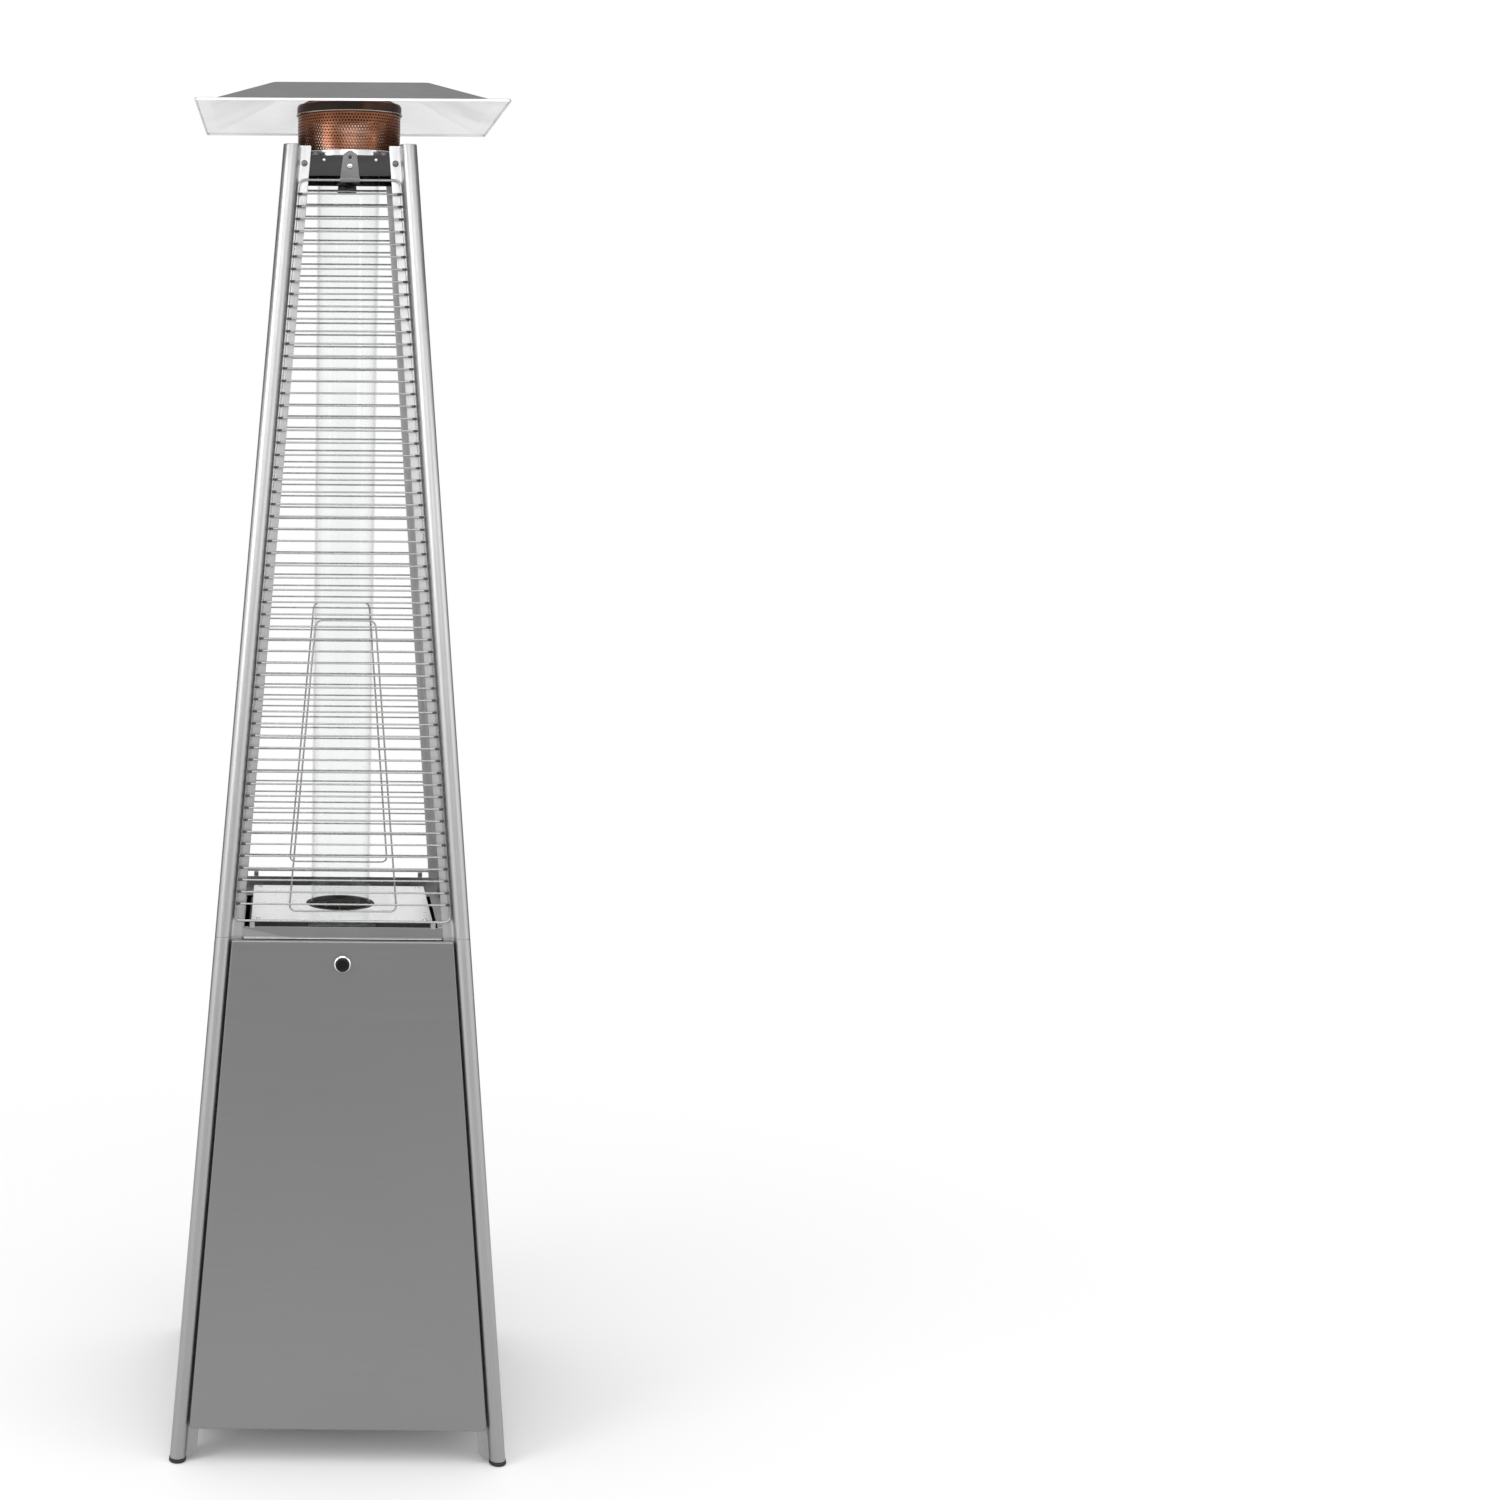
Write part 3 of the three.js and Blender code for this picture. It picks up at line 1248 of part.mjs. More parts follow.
piece('glass_tube', 'clear_glass', glassTube());
piece('lower_tube_seal', 'black_rubber', lowerSeal());
piece('upper_tube_ring', 'bright_steel', upperRing());
piece('head_plate', 'dark_plate', headPlate());
piece('screen_base_ring', 'bright_steel', screenRing());
piece('flame_screen', 'copper_screen', flameScreen());
piece('screen_hood', 'scorched_steel', screenHood());
piece('reflector', 'aluminium', reflector());
studAngles().forEach((angle, i) => {
  const nut = piece(`reflector_nut_${i + 1}`, 'bright_steel', reflectorNut());
  nut.position.set(-STUD_CIRCLE * Math.sin(angle), STUD_CIRCLE * Math.cos(angle), 0);
});

// The frame's origin lies under the middle of the whole outline, wheels included.
const frontReach = BASE_WIDTH / 2 + FOOT_LIP;
const rearReach = AXLE_Y + WHEEL_RADIUS;
heater.position.y = (frontReach - rearReach) / 2;

export default heater;
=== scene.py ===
"""Pyramid patio heater, dressed for the picture. Lengths are millimetres around the heater's axis."""

import math

import bmesh
import bpy
from mathutils import Matrix, Vector


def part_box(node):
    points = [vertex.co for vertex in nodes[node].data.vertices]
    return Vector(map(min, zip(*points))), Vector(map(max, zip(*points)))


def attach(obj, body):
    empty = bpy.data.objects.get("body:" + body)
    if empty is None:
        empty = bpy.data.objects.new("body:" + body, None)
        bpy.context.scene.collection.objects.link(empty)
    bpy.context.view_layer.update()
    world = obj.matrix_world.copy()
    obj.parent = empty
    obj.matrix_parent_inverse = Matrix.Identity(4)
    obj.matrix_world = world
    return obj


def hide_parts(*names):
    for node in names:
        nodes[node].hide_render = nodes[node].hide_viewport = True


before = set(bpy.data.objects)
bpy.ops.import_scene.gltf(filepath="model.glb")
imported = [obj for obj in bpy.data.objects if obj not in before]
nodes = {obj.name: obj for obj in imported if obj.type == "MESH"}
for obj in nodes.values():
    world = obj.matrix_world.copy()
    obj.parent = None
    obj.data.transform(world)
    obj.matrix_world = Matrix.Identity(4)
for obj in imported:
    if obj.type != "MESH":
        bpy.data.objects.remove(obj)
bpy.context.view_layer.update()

# Where the heater's axis stands
MM = 0.001
tube_low, tube_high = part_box("glass_tube")
AXIS = Vector(((tube_low.x + tube_high.x) / 2, (tube_low.y + tube_high.y) / 2, 0))

# Overall form
BASE_WIDTH = 569
TOP_WIDTH = 215
LEG_TOP = 2183
SEAM = 894
GAP = 0.3
LEAN = (BASE_WIDTH - TOP_WIDTH) / 2 / LEG_TOP
LEAN_ANGLE = math.atan(LEAN)

# Legs
LEG_RADIUS = 13.5
LEG_WALL = 1.5
LEG_EDGE = 0.7
LEG_CENTRE = BASE_WIDTH / 2 - LEG_RADIUS
LEG_INSIDE = BASE_WIDTH / 2 - 2 * LEG_RADIUS
PLUG_RADIUS = LEG_RADIUS - LEG_WALL - GAP
FIN_REACH = 45
FIN_SETBACK = 13
FIN_FACE = BASE_WIDTH / 2 - FIN_SETBACK
FIN_WALL = 1.2
FIN_EDGE = 0.25
FIN_ROOT = 0.8
FIN_LEAST = 0.4
FIN_CHAMFER = 10
FIN_TOP_CUT = 1.5
FIN_TOP_DROP = 2.5
FIN_BEND = 34.5
FIN_FALL = 3.2
FIN_LOW_BEND = (30, 50)
FIN_HIGH_BEND = (100, 75)
SEAM_REACH = 3.3
SEAM_CLIMB = 7.5
SEAM_SINK = 0.1
SEAM_ROOT = (1.2, 0.5)
SEAM_FOOT = 4
SEAM_BREAK = 1
SEAM_HEAD = 2
SPIGOT_REACH = 60
SPIGOT_WALL = 1.5
SPIGOT_EDGE = 0.6
FOOT_HEIGHT = 7
FOOT_RIM = LEG_RADIUS + 1
FOOT_PLUG = 18
EAR_SCREW_HEIGHT = 2152.5
EAR_SCREW_REACH = 73.6

# Door and panels
PANEL_BOTTOM = 60
PANEL_TOP = SEAM - 4.5
PANEL_SETBACK = 1.5
PANEL_EDGE = 28.5
PANEL_WALL = 1.2
PANEL_DEPTH = 11.2
PANEL_FOOT_CORNER = 10
PANEL_HEAD_CORNER = 2.2
PANEL_SCREW_INSET = 16
DOOR_DEPTH = 8.5
FOLD_RADIUS = 2.6
RIM_EDGE = 0.3
HINGE_X = 150
HINGE_Z = 63.5
HINGE_SETBACK = 6.5
LUG_START = 1.85
LUG_WALL = 2.5
LUG_BORE = 2.3
LUG_RADIUS = 3.4
LUG_FRONT = 2.2
LUG_CLIMB = 4
PIN_START = 1.25
LATCH_Z = PANEL_TOP - 38

# Wire guards
GUARD_TOP = 2126.3
GUARD_BOTTOM = 920.8
GUARD_WIRE = 2
GUARD_SIDE = 30.5
GUARD_CORNER = 12
FRAME_SETBACK = 10.8
CROSS_WIRE = 1.5
CROSS_COUNT = 59
CROSS_FIRST = 22.4
CROSS_PITCH = 19.9
CROSS_HEIGHTS = [GUARD_TOP - CROSS_FIRST - CROSS_PITCH * i for i in range(CROSS_COUNT)]
CROSS_OVERHANG = 1.6
CROSS_SETBACK = 7.6
CROSS_WELD = 33.6
LOOP_TOP = 1417.5
LOOP_BOTTOM = 937.6
LOOP_TOP_HALF = 49
LOOP_BOTTOM_HALF = 89
CLIP_WALL = 1.5
CLIP_RISE = 7.5
CLIP_FOOT_HALF = 16
CLIP_HEAD_HALF = 11
CLIP_TIP_HALF = 2.5
CLIP_TIP = 6
CLIP_HOLE = 2.6
CLIP_HOLE_DROP = 11
CLIP_HOOK = 6
CLIP_SCREW_Z = 2149

# Glass tube
GLASS_RADIUS = 51.5
GLASS_WALL = 2.5
GLASS_BOTTOM = 899.7
GLASS_TOP = 2160
GLASS_EDGE = 1.1
TUBE_ROOM = GLASS_RADIUS + 0.5

# Head
HEAD_TOP = 2166
HEAD_HALF = 94.4
HEAD_RIVET_X = 42
HEAD_RIVET_Z = 2158.5
SCREEN_RADIUS = 84.5
SCREEN_WALL = 1.2
SCREEN_LOW = 2176.6
SCREEN_HIGH = 2253.6
SCREEN_COLUMNS = 104
SCREEN_ROWS = 16
SCREEN_HOLE_SHARE = 0.33
HOOD_TOP = 2269.5
HOOD_BOTTOM = HOOD_TOP - 33
BEAD_CIRCLE = 86.9
BEAD_RADIUS = 1.1
REFLECTOR_TOP = 2277
REFLECTOR_HALF = 245
REFLECTOR_FOLD = 223
REFLECTOR_FLAT = 121.5
REFLECTOR_DROP = 40
REFLECTOR_HEM = 4.5
REFLECTOR_WALL = 1.2
REFLECTOR_CORNER = 5
STUD_CIRCLE = 42
STUD_RADIUS = 3
STUD_CORE = 2.65

# Burner
SHELF_TOP = 910
SHELF_FLOOR = SHELF_TOP - 30
SHELF_HALF = 196.2
SHELF_LIP_HALF = 164.5
SHELF_LIP_FRONT = 201
SLOT_REACH = 154
SLOT_WIDTH = 12
SLOT_HALF_LENGTH = 165
DECK_TOP = 906.5
DECK_WALL = 1.5
DECK_HALF_X = 153
DECK_HALF_Y = 136
DECK_CORNER = 3
DECK_HOLE = 59.5
DECK_SCREW_INSET = 12
DECK_LIP_HALF = 57
BOWL_FLOOR = 851.7
BOWL_SEAT = 895.7
BOWL_TOP = 904.7
BOWL_HOLE = 6.3
BOWL_BORE = 47.9
BOWL_RIM = 72
BOWL_WALL = 1.3
CAP_RADIUS = 36
CAP_WALL = 1.2
CAP_HEIGHT = 29
CAP_HOLE = 4
CAP_HOLE_COUNT = 10
CAP_HOLE_CIRCLE = 26
PROBE_X = 42

# Gas controls
BOX_FRONT = -131
CONTROL_X = 42
CONTROL_Z = 845.7
PIPE_RADIUS = 4
VALVE_REACH = 35.5
NOZZLE_REACH = 14.1

# Base and wheels
TANK_SEAT = 74
TANK_RING_RADIUS = 103.8
TANK_RING_HEIGHT = 12
TANK_RING_WALL = 2
WHEEL_RADIUS = 30
WHEEL_HALF = 11
WHEEL_WEB = 5
WHEEL_X = 190
WHEEL_Y = 310
WHEEL_Z = 36
AXLE_HALF = 201.3
AXLE_HEAD = 4

# Screws and rivets: the radius and height of their heads
EAR_SCREW = (5.2, 3.2)
PANEL_SCREW = (4, 2.2)
CLIP_SCREW = (5, 3.4)
DECK_SCREW = (4, 2)
HEAD_RIVET = (2.6, 1.6)
SCREW_DOME = ((1, 0), (1, 0.3), (0.93, 0.62), (0.78, 0.88), (0.56, 1))

CORNERS = ("rear_right", "rear_left", "front_left", "front_right")
FACES = ("front", "right", "rear", "left")
SIDES = (("left", -1), ("right", 1))


def half_at(z):
    return BASE_WIDTH / 2 - LEAN * z


# Forms: a form is a list of points and a list of faces
def joined(*forms):
    points, faces = [], []
    for some_points, some_faces in forms:
        start = len(points)
        points += some_points
        faces += [tuple(start + i for i in face) for face in some_faces]
    return points, faces


def mapped(form, change):
    return [change(Vector(p)) for p in form[0]], form[1]


def moved(form, x=0, y=0, z=0):
    return mapped(form, lambda p: p + Vector((x, y, z)))


def turned(form, angle, axis="Z"):
    matrix = Matrix.Rotation(angle, 3, axis)
    return mapped(form, lambda p: matrix @ p)


def quarter(form, count):
    return turned(form, count * math.pi / 2)


def leaned_face(form):
    return mapped(form, lambda p: Vector((p.x, p.y - BASE_WIDTH / 2 + LEAN * p.z, p.z)))


def leaned_corner(form):
    return mapped(form, lambda p: Vector((p.x - LEAN * p.z, p.y - LEAN * p.z, p.z)))


def laid_flat(form, top):
    """A plate turned so that its front face looks up."""
    return mapped(form, lambda p: Vector((p.x, p.z, top - p.y)))


def ringed(rings, closed=True, capped=False):
    """Faces between rings of equal count; closed joins the last ring to the first."""
    count = len(rings[0])
    points = [Vector(p) for ring in rings for p in ring]
    faces = []
    last = len(rings) if closed else len(rings) - 1
    for i in range(last):
        near = i * count
        far = ((i + 1) % len(rings)) * count
        for k in range(count):
            after = (k + 1) % count
            faces.append((near + k, near + after, far + after, far + k))
    if capped:
        faces.append(tuple(reversed(range(count))))
        faces.append(tuple((len(rings) - 1) * count + k for k in range(count)))
    return points, faces


def around(count):
    return [2 * math.pi * k / count for k in range(count)]


def polar(radius, angle, z):
    return (radius * math.cos(angle), radius * math.sin(angle), z)


def round_ring(radius, z, sides):
    return [polar(radius, angle, z) for angle in around(sides)]


def round_rectangle(half_x, half_y, corner):
    loop = []
    for turn, (side_x, side_y) in enumerate(((1, 1), (-1, 1), (-1, -1), (1, -1))):
        for k in range(5):
            x, y, _ = polar(corner, math.pi / 2 * (turn + k / 4), 0)
            loop.append((side_x * (half_x - corner) + x, side_y * (half_y - corner) + y))
    return loop


def lathe(profile, sides=64, closed=True):
    """Turned about Z from pairs of radius and height."""
    return ringed([round_ring(radius, height, sides) for radius, height in profile], closed)


def lathe_x(profile, sides, closed=True):
    return turned(lathe(profile, sides, closed), math.pi / 2, "Y")


def lathe_y(profile, sides=48):
    return turned(lathe([(radius, -y) for radius, y in profile], sides), math.pi / 2, "X")


def bend(start, peak, end, steps=6):
    """A smooth curve from one point to another, pulled towards a peak."""
    a, b, c = Vector(start), Vector(peak), Vector(end)
    curve = []
    for k in range(steps + 1):
        t = k / steps
        curve.append(a * (1 - t) ** 2 + b * 2 * t * (1 - t) + c * t ** 2)
    return curve


def rounded(profile, radius, steps=3):
    """A closed profile with each of its corners rounded off."""
    result = []
    for i, corner in enumerate(profile):
        here = Vector(corner)
        before = Vector(profile[i - 1]) - here
        after = Vector(profile[(i + 1) % len(profile)]) - here
        reach = min(radius, before.length * 0.45, after.length * 0.45)
        if here.x == 0 or reach < 0.02:
            result.append(tuple(here))
            continue
        start = here + before.normalized() * reach
        end = here + after.normalized() * reach
        result += [tuple(point) for point in bend(start, here, end, steps)]
    return result


def tube(outer, wall, low, high, edge, sides, steps=3):
    """An upright tube with rounded rims."""
    bore = outer - wall
    section = [(bore, low), (outer, low), (outer, high), (bore, high)]
    return lathe(rounded(section, edge, steps), sides)


def swept(path, radius, sides, closed=False):
    """A round wire along a path."""
    path = [Vector(p) for p in path]
    count = len(path)
    rings = []
    side = (path[1] - path[-1 if closed else 0]).orthogonal()
    for i, point in enumerate(path):
        before = path[i - 1] if closed or i > 0 else point
        after = path[(i + 1) % count] if closed or i < count - 1 else point
        along = (after - before).normalized()
        side = (side - along * side.dot(along)).normalized()
        other = along.cross(side)
        rings.append([point + (side * math.cos(a) + other * math.sin(a)) * radius for a in around(sides)])
    return ringed(rings, closed, capped=not closed)


def block(x, y, z, edge):
    """A box with its edges taken off."""
    bm = bmesh.new()
    bmesh.ops.create_cube(bm, size=1)
    for vertex in bm.verts:
        vertex.co = [span[0] if place < 0 else span[1] for span, place in zip((x, y, z), vertex.co)]
    if edge:
        bmesh.ops.bevel(bm, geom=bm.edges[:], offset=edge, segments=2, affect="EDGES", profile=0.5)
    bm.verts.index_update()
    points = [vertex.co.copy() for vertex in bm.verts]
    faces = [tuple(vertex.index for vertex in face.verts) for face in bm.faces]
    bm.free()
    return points, faces


def plate(outline, holes, thickness, edge):
    """A flat plate drawn in X and height with holes, its front face at y = 0 and the rest behind it."""
    curve = bpy.data.curves.new("plate", "CURVE")
    curve.dimensions = "2D"
    curve.fill_mode = "BOTH"
    curve.extrude = thickness / 2 - edge
    curve.bevel_depth = edge
    curve.bevel_resolution = 1
    curve.offset = -edge
    for loop in [outline] + holes:
        spline = curve.splines.new("POLY")
        spline.points.add(len(loop) - 1)
        spline.use_cyclic_u = True
        for i, (x, z) in enumerate(loop):
            spline.points[i].co = (x, z, 0, 1)
    carrier = placed("plate", curve)
    mesh = finished_mesh(carrier)
    points = [Vector((v.co.x, thickness / 2 - v.co.z, v.co.y)) for v in mesh.vertices]
    faces = [tuple(polygon.vertices) for polygon in mesh.polygons]
    bpy.data.objects.remove(carrier)
    bpy.data.curves.remove(curve)
    bpy.data.meshes.remove(mesh)
    return points, faces


def both_ways(reach):
    return -reach, reach


def circle(x, z, radius, sides=24):
    return [(x + radius * math.cos(angle), z + radius * math.sin(angle)) for angle in around(sides)]


def screw(radius, height):
    """A domed screw head with a cross recess, its seat at y = 0 and its head towards -Y."""
    angles = around(24)
    cross = [0.14 + 0.36 * abs(math.cos(2 * angle)) ** 3 for angle in angles]
    levels = [([share] * len(angles), rise) for share, rise in SCREW_DOME]
    levels += [(cross, 1), (cross, 0.45), ([0] * len(angles), 0.3), ([0] * len(angles), 0)]
    rings = []
    for shares, rise in levels:
        reaches = [radius * share for share in shares]
        rings.append([(r * math.cos(a), -rise * height, r * math.sin(a)) for r, a in zip(reaches, angles)])
    return ringed(rings)


# Making pieces
def placed(name, data):
    carrier = bpy.data.objects.new(name, data)
    bpy.context.scene.collection.objects.link(carrier)
    return carrier


def finished_mesh(carrier):
    shaped = carrier.evaluated_get(bpy.context.evaluated_depsgraph_get())
    return bpy.data.meshes.new_from_object(shaped)


def settle(piece):
    """Turns what a piece's modifiers make of it into its own mesh."""
    mesh = finished_mesh(piece)
    piece.modifiers.clear()
    piece.data = mesh


def mesh_of(name, form):
    mesh = bpy.data.meshes.new(name)
    mesh.from_pydata([Vector(point) * MM + AXIS for point in form[0]], [], form[1])
    return mesh


def dress(piece, body, material, sharp, replaced):
    """Gives a piece its material and body, and hides the nodes that it replaces. Light follows its large
    faces, not their rounded edges.
    """
    piece.data.shade_smooth()
    piece.data.set_sharp_from_angle(angle=math.radians(sharp))
    piece.data.materials.append(material)
    even = piece.modifiers.new("even", "WEIGHTED_NORMAL")
    even.keep_sharp = True
    settle(piece)
    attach(piece, body)
    if replaced:
        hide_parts(*replaced)


def add_piece(name, form, material, replaced=(), sharp=35, body="heater_frame"):
    mesh = mesh_of(name, form)
    bm = bmesh.new()
    bm.from_mesh(mesh)
    bmesh.ops.remove_doubles(bm, verts=bm.verts, dist=2e-6)
    bmesh.ops.dissolve_degenerate(bm, edges=bm.edges, dist=1e-6)
    bmesh.ops.recalc_face_normals(bm, faces=bm.faces)
    bm.to_mesh(mesh)
    bm.free()
    dress(placed(name, mesh), body, material, sharp, replaced)


def add_bright(name, form, replaced=(), body="heater_frame"):
    add_piece(name, form, bright_steel, replaced, body=body)


def softened(name, node, material, edge, cutters=(), body="heater_frame"):
    """A copy of a node with slots cut and its edges rounded, which stands for it."""
    mesh = nodes[node].data.copy()
    mesh.name = name
    bm = bmesh.new()
    bm.from_mesh(mesh)
    bmesh.ops.remove_doubles(bm, verts=bm.verts, dist=2e-6)
    bmesh.ops.dissolve_limit(bm, angle_limit=math.radians(0.5), verts=bm.verts, edges=bm.edges)
    bm.to_mesh(mesh)
    bm.free()
    mesh.materials.clear()
    piece = placed(name, mesh)
    carriers = []
    for cutter in cutters:
        carriers.append(placed("cutter", mesh_of("cutter", cutter)))
        cut = piece.modifiers.new("slot", "BOOLEAN")
        cut.operation = "DIFFERENCE"
        cut.object = carriers[-1]
    bevel = piece.modifiers.new("edges", "BEVEL")
    bevel.width = edge * MM
    bevel.segments = 2
    bevel.limit_method = "ANGLE"
    bevel.angle_limit = math.radians(40)
    settle(piece)
    for carrier in carriers:
        bpy.data.objects.remove(carrier)
    dress(piece, body, material, 30, [node])


# Materials, and the ways in which a brushed grain is stretched
ALONG_X = (0.014, 1, 1)
ALONG_Y = (1, 0.014, 1)
ALONG_LEG = (1, 1, 0.012)
ALL_ROUND = (0.014, 0.014, 1)


def new_node(tree, kind, inputs, output, **settings):
    """One output of a new node, whose inputs are set or are joined to other outputs."""
    node = tree.nodes.new("ShaderNode" + kind)
    for key, value in settings.items():
        setattr(node, key, value)
    for key, value in inputs.items():
        if isinstance(value, bpy.types.NodeSocket):
            tree.links.new(value, node.inputs[key])
        else:
            node.inputs[key].default_value = value
    return node.outputs[output]


def seen_rays(tree):
    """One where the camera looks, also through the glass or by the metal, and zero for the light."""
    kinds = ("Camera", "Transmission", "Glossy")
    camera, through, mirrored = [new_node(tree, "LightPath", {}, f"Is {kind} Ray") for kind in kinds]
    direct = new_node(tree, "Math", {0: camera, 1: through}, "Value", operation="MAXIMUM")
    return new_node(tree, "Math", {0: direct, 1: mirrored}, "Value", operation="MAXIMUM")


class Surface:
    """A material that is built up node by node."""

    def __init__(self, name, color, metallic, roughness=0.5):
        self.material = bpy.data.materials.new(name)
        self.material.use_nodes = True
        self.tree = self.material.node_tree
        self.shader = self.tree.nodes["Principled BSDF"]
        self.color = (*color, 1)
        self.shader.inputs["Base Color"].default_value = self.color
        self.shader.inputs["Metallic"].default_value = metallic
        self.shader.inputs["Roughness"].default_value = roughness
        self.place = self.node("TexCoord", {}, "Object")

    def node(self, kind, inputs, output, **settings):
        return new_node(self.tree, kind, inputs, output, **settings)

    def drive(self, socket, source):
        self.tree.links.new(source, self.shader.inputs[socket])

    def noise(self, scale, detail, rough, stretch=(1, 1, 1)):
        place = self.node("Mapping", {"Scale": stretch, "Vector": self.place}, "Vector")
        look = {"Scale": scale, "Detail": detail, "Roughness": rough, "Vector": place}
        return self.node("TexNoise", look, "Fac")

    def spread(self, source, low, high, to_low=0.0, to_high=1.0):
        ends = {"From Min": low, "From Max": high, "To Min": to_low, "To Max": to_high, "Value": source}
        return self.node("MapRange", ends, "Result")

    def height(self):
        return self.node("SeparateXYZ", {"Vector": self.place}, "Z")

    def facing_up(self, low=0.2, high=0.6):
        normal = self.node("TexCoord", {}, "Normal")
        return self.spread(self.node("SeparateXYZ", {"Vector": normal}, "Z"), low, high)

    def times(self, first, second):
        return self.node("Math", {0: first, 1: second}, "Value", operation="MULTIPLY")

    def plus(self, first, second):
        return self.node("Math", {0: first, 1: second}, "Value", operation="ADD")

    def tint(self, factor, color):
        """Mixes a colour over what the surface has so far."""
        socket = self.shader.inputs["Base Color"]
        under = socket.links[0].from_socket if socket.is_linked else self.color
        parts = {"A": under, "B": (*color, 1), "Factor": factor}
        self.drive("Base Color", self.node("Mix", parts, "Result", data_type="RGBA"))

    def stain(self, source, low, high, share, color):
        self.tint(self.spread(source, low, high, 0, share), color)

    def wear(self, share, color):
        edges = self.spread(self.node("NewGeometry", {}, "Pointiness"), 0.52, 0.6)
        self.tint(self.times(edges, share), color)

    def gloss(self, source, smooth, rough):
        self.drive("Roughness", self.spread(source, 0.3, 0.7, smooth, rough))

    def relief(self, source, depth, strength):
        parts = {"Distance": depth * MM, "Strength": strength, "Height": source}
        socket = self.shader.inputs["Normal"]
        if socket.is_linked:
            parts["Normal"] = socket.links[0].from_socket
        self.drive("Normal", self.node("Bump", parts, "Normal"))

    def mix_with(self, factor, first, second):
        """Makes the surface a mixture of two shaders."""
        mix = self.node("MixShader", {"Fac": factor, 1: first, 2: second}, "Shader")
        self.tree.links.new(mix, self.tree.nodes["Material Output"].inputs["Surface"])


def grey(value):
    return (value, value, value * 1.01)


def times_each(color, factor, offset=0.0):
    return tuple(part * factor + offset for part in color)


def brushed(name, value, stretch, smooth, rough, shade, grain=0.03, dust_and_shade=0.0, painted_shade_top=1.6):
    """Brushed sheet: fine parallel scratches, faint clouds and brighter worn edges."""
    surface = Surface(name, grey(value), 1.0)
    fine = surface.noise(900, 3, 0.7, stretch)
    coarse = surface.noise(160, 2, 0.5, stretch)
    clouds = surface.noise(5, 3, 0.5, (1, 1, 0.6))
    surface.stain(fine, 0.35, 0.75, 0.5, grey(value * shade))
    surface.stain(clouds, 0.4, 0.7, 0.2, grey(value * 0.94))
    surface.wear(0.45, grey(min(1, value * 1.35)))
    # Painted shade: the sheet darkens towards the floor and fades out at the given top height.
    if dust_and_shade:
        surface.tint(surface.spread(surface.height(), 0.1, painted_shade_top, dust_and_shade, 0), grey(value * 0.45))
    surface.gloss(surface.plus(surface.times(fine, 0.6), surface.times(coarse, 0.4)), smooth, rough)
    surface.relief(fine, grain, 0.6)
    surface.relief(clouds, 0.4, 0.06)
    return surface.material


def plated(name, color, smooth, rough, haze=0.8, metallic=1.0):
    """Bright plating: nearly smooth, with a faint haze, pits and small specks."""
    surface = Surface(name, color, metallic)
    clouds = surface.noise(60, 5, 0.65)
    specks = surface.noise(1400, 1, 0.5)
    surface.stain(clouds, 0.5, 0.75, 0.6, times_each(color, haze))
    surface.stain(specks, 0.72, 0.8, 0.15, times_each(color, 0.6))
    surface.gloss(clouds, smooth, rough)
    surface.relief(specks, 0.01, 0.4)
    surface.relief(clouds, 0.15, 0.1)
    return surface.material


def scorched(name, color, hot):
    """Steel that the flame has darkened, with straw and brown clouds."""
    surface = Surface(name, color, 0.85)
    clouds = surface.noise(22, 5, 0.6)
    specks = surface.noise(500, 2, 0.5)
    surface.stain(clouds, 0.45, 0.7, 0.8, hot)
    surface.stain(specks, 0.6, 0.75, 0.4, times_each(color, 0.4))
    surface.wear(0.3, times_each(color, 3))
    surface.gloss(clouds, 0.3, 0.55)
    surface.relief(specks, 0.04, 0.5)
    return surface.material


def coated(name, color, metallic, smooth, rough, grain=500, depth=0.05, shine=0.5):
    """Paint or powder coat: fine orange peel, dust and lighter edges."""
    surface = Surface(name, color, metallic)
    surface.shader.inputs["Specular IOR Level"].default_value = shine
    peel = surface.noise(grain, 2, 0.5)
    dust_and_shade = surface.noise(35, 5, 0.6)
    surface.stain(dust_and_shade, 0.5, 0.8, 0.35, times_each(color, 1.35, 0.006))
    surface.wear(0.35, times_each(color, 1.8, 0.02))
    surface.gloss(dust_and_shade, smooth, rough)
    surface.relief(peel, depth, 0.5)
    return surface.material


def copper_sheet():
    """Perforated sheet coloured by heat: copper, browner in bands and clouds."""
    surface = Surface("copper_screen", (0.3, 0.118, 0.064), 1.0)
    clouds = surface.noise(14, 4, 0.55, (1, 1, 2.2))
    fine = surface.noise(700, 2, 0.5, (1, 1, 0.3))
    bands = surface.noise(60, 2, 0.5, (0.3, 0.3, 1))
    surface.stain(clouds, 0.42, 0.68, 0.7, (0.2, 0.075, 0.04))
    surface.stain(bands, 0.5, 0.72, 0.5, (0.62, 0.32, 0.2))
    surface.stain(fine, 0.6, 0.8, 0.5, (0.12, 0.05, 0.03))
    surface.gloss(clouds, 0.21, 0.32)
    surface.relief(fine, 0.02, 0.5)
    return surface.material


def shelf_sheet_lit_by_side():
    """The shelf's steel, painted light and shade by which way a face looks: light where it faces up, dark on
    its walls.
    """
    surface = Surface("shelf_steel", grey(0.27), 1.0)
    fine = surface.noise(900, 3, 0.7, ALONG_X)
    clouds = surface.noise(9, 4, 0.55)
    # Painted light: faces that look up are tinted light, while the walls keep the dark colour as painted
    # shade.
    surface.tint(surface.facing_up(0.7, 0.9), grey(0.84))
    surface.stain(fine, 0.4, 0.75, 0.3, grey(0.3))
    surface.stain(clouds, 0.5, 0.8, 0.2, grey(0.25))
    surface.wear(0.5, grey(0.8))
    surface.gloss(clouds, 0.24, 0.38)
    surface.relief(fine, 0.03, 0.5)
    return surface.material


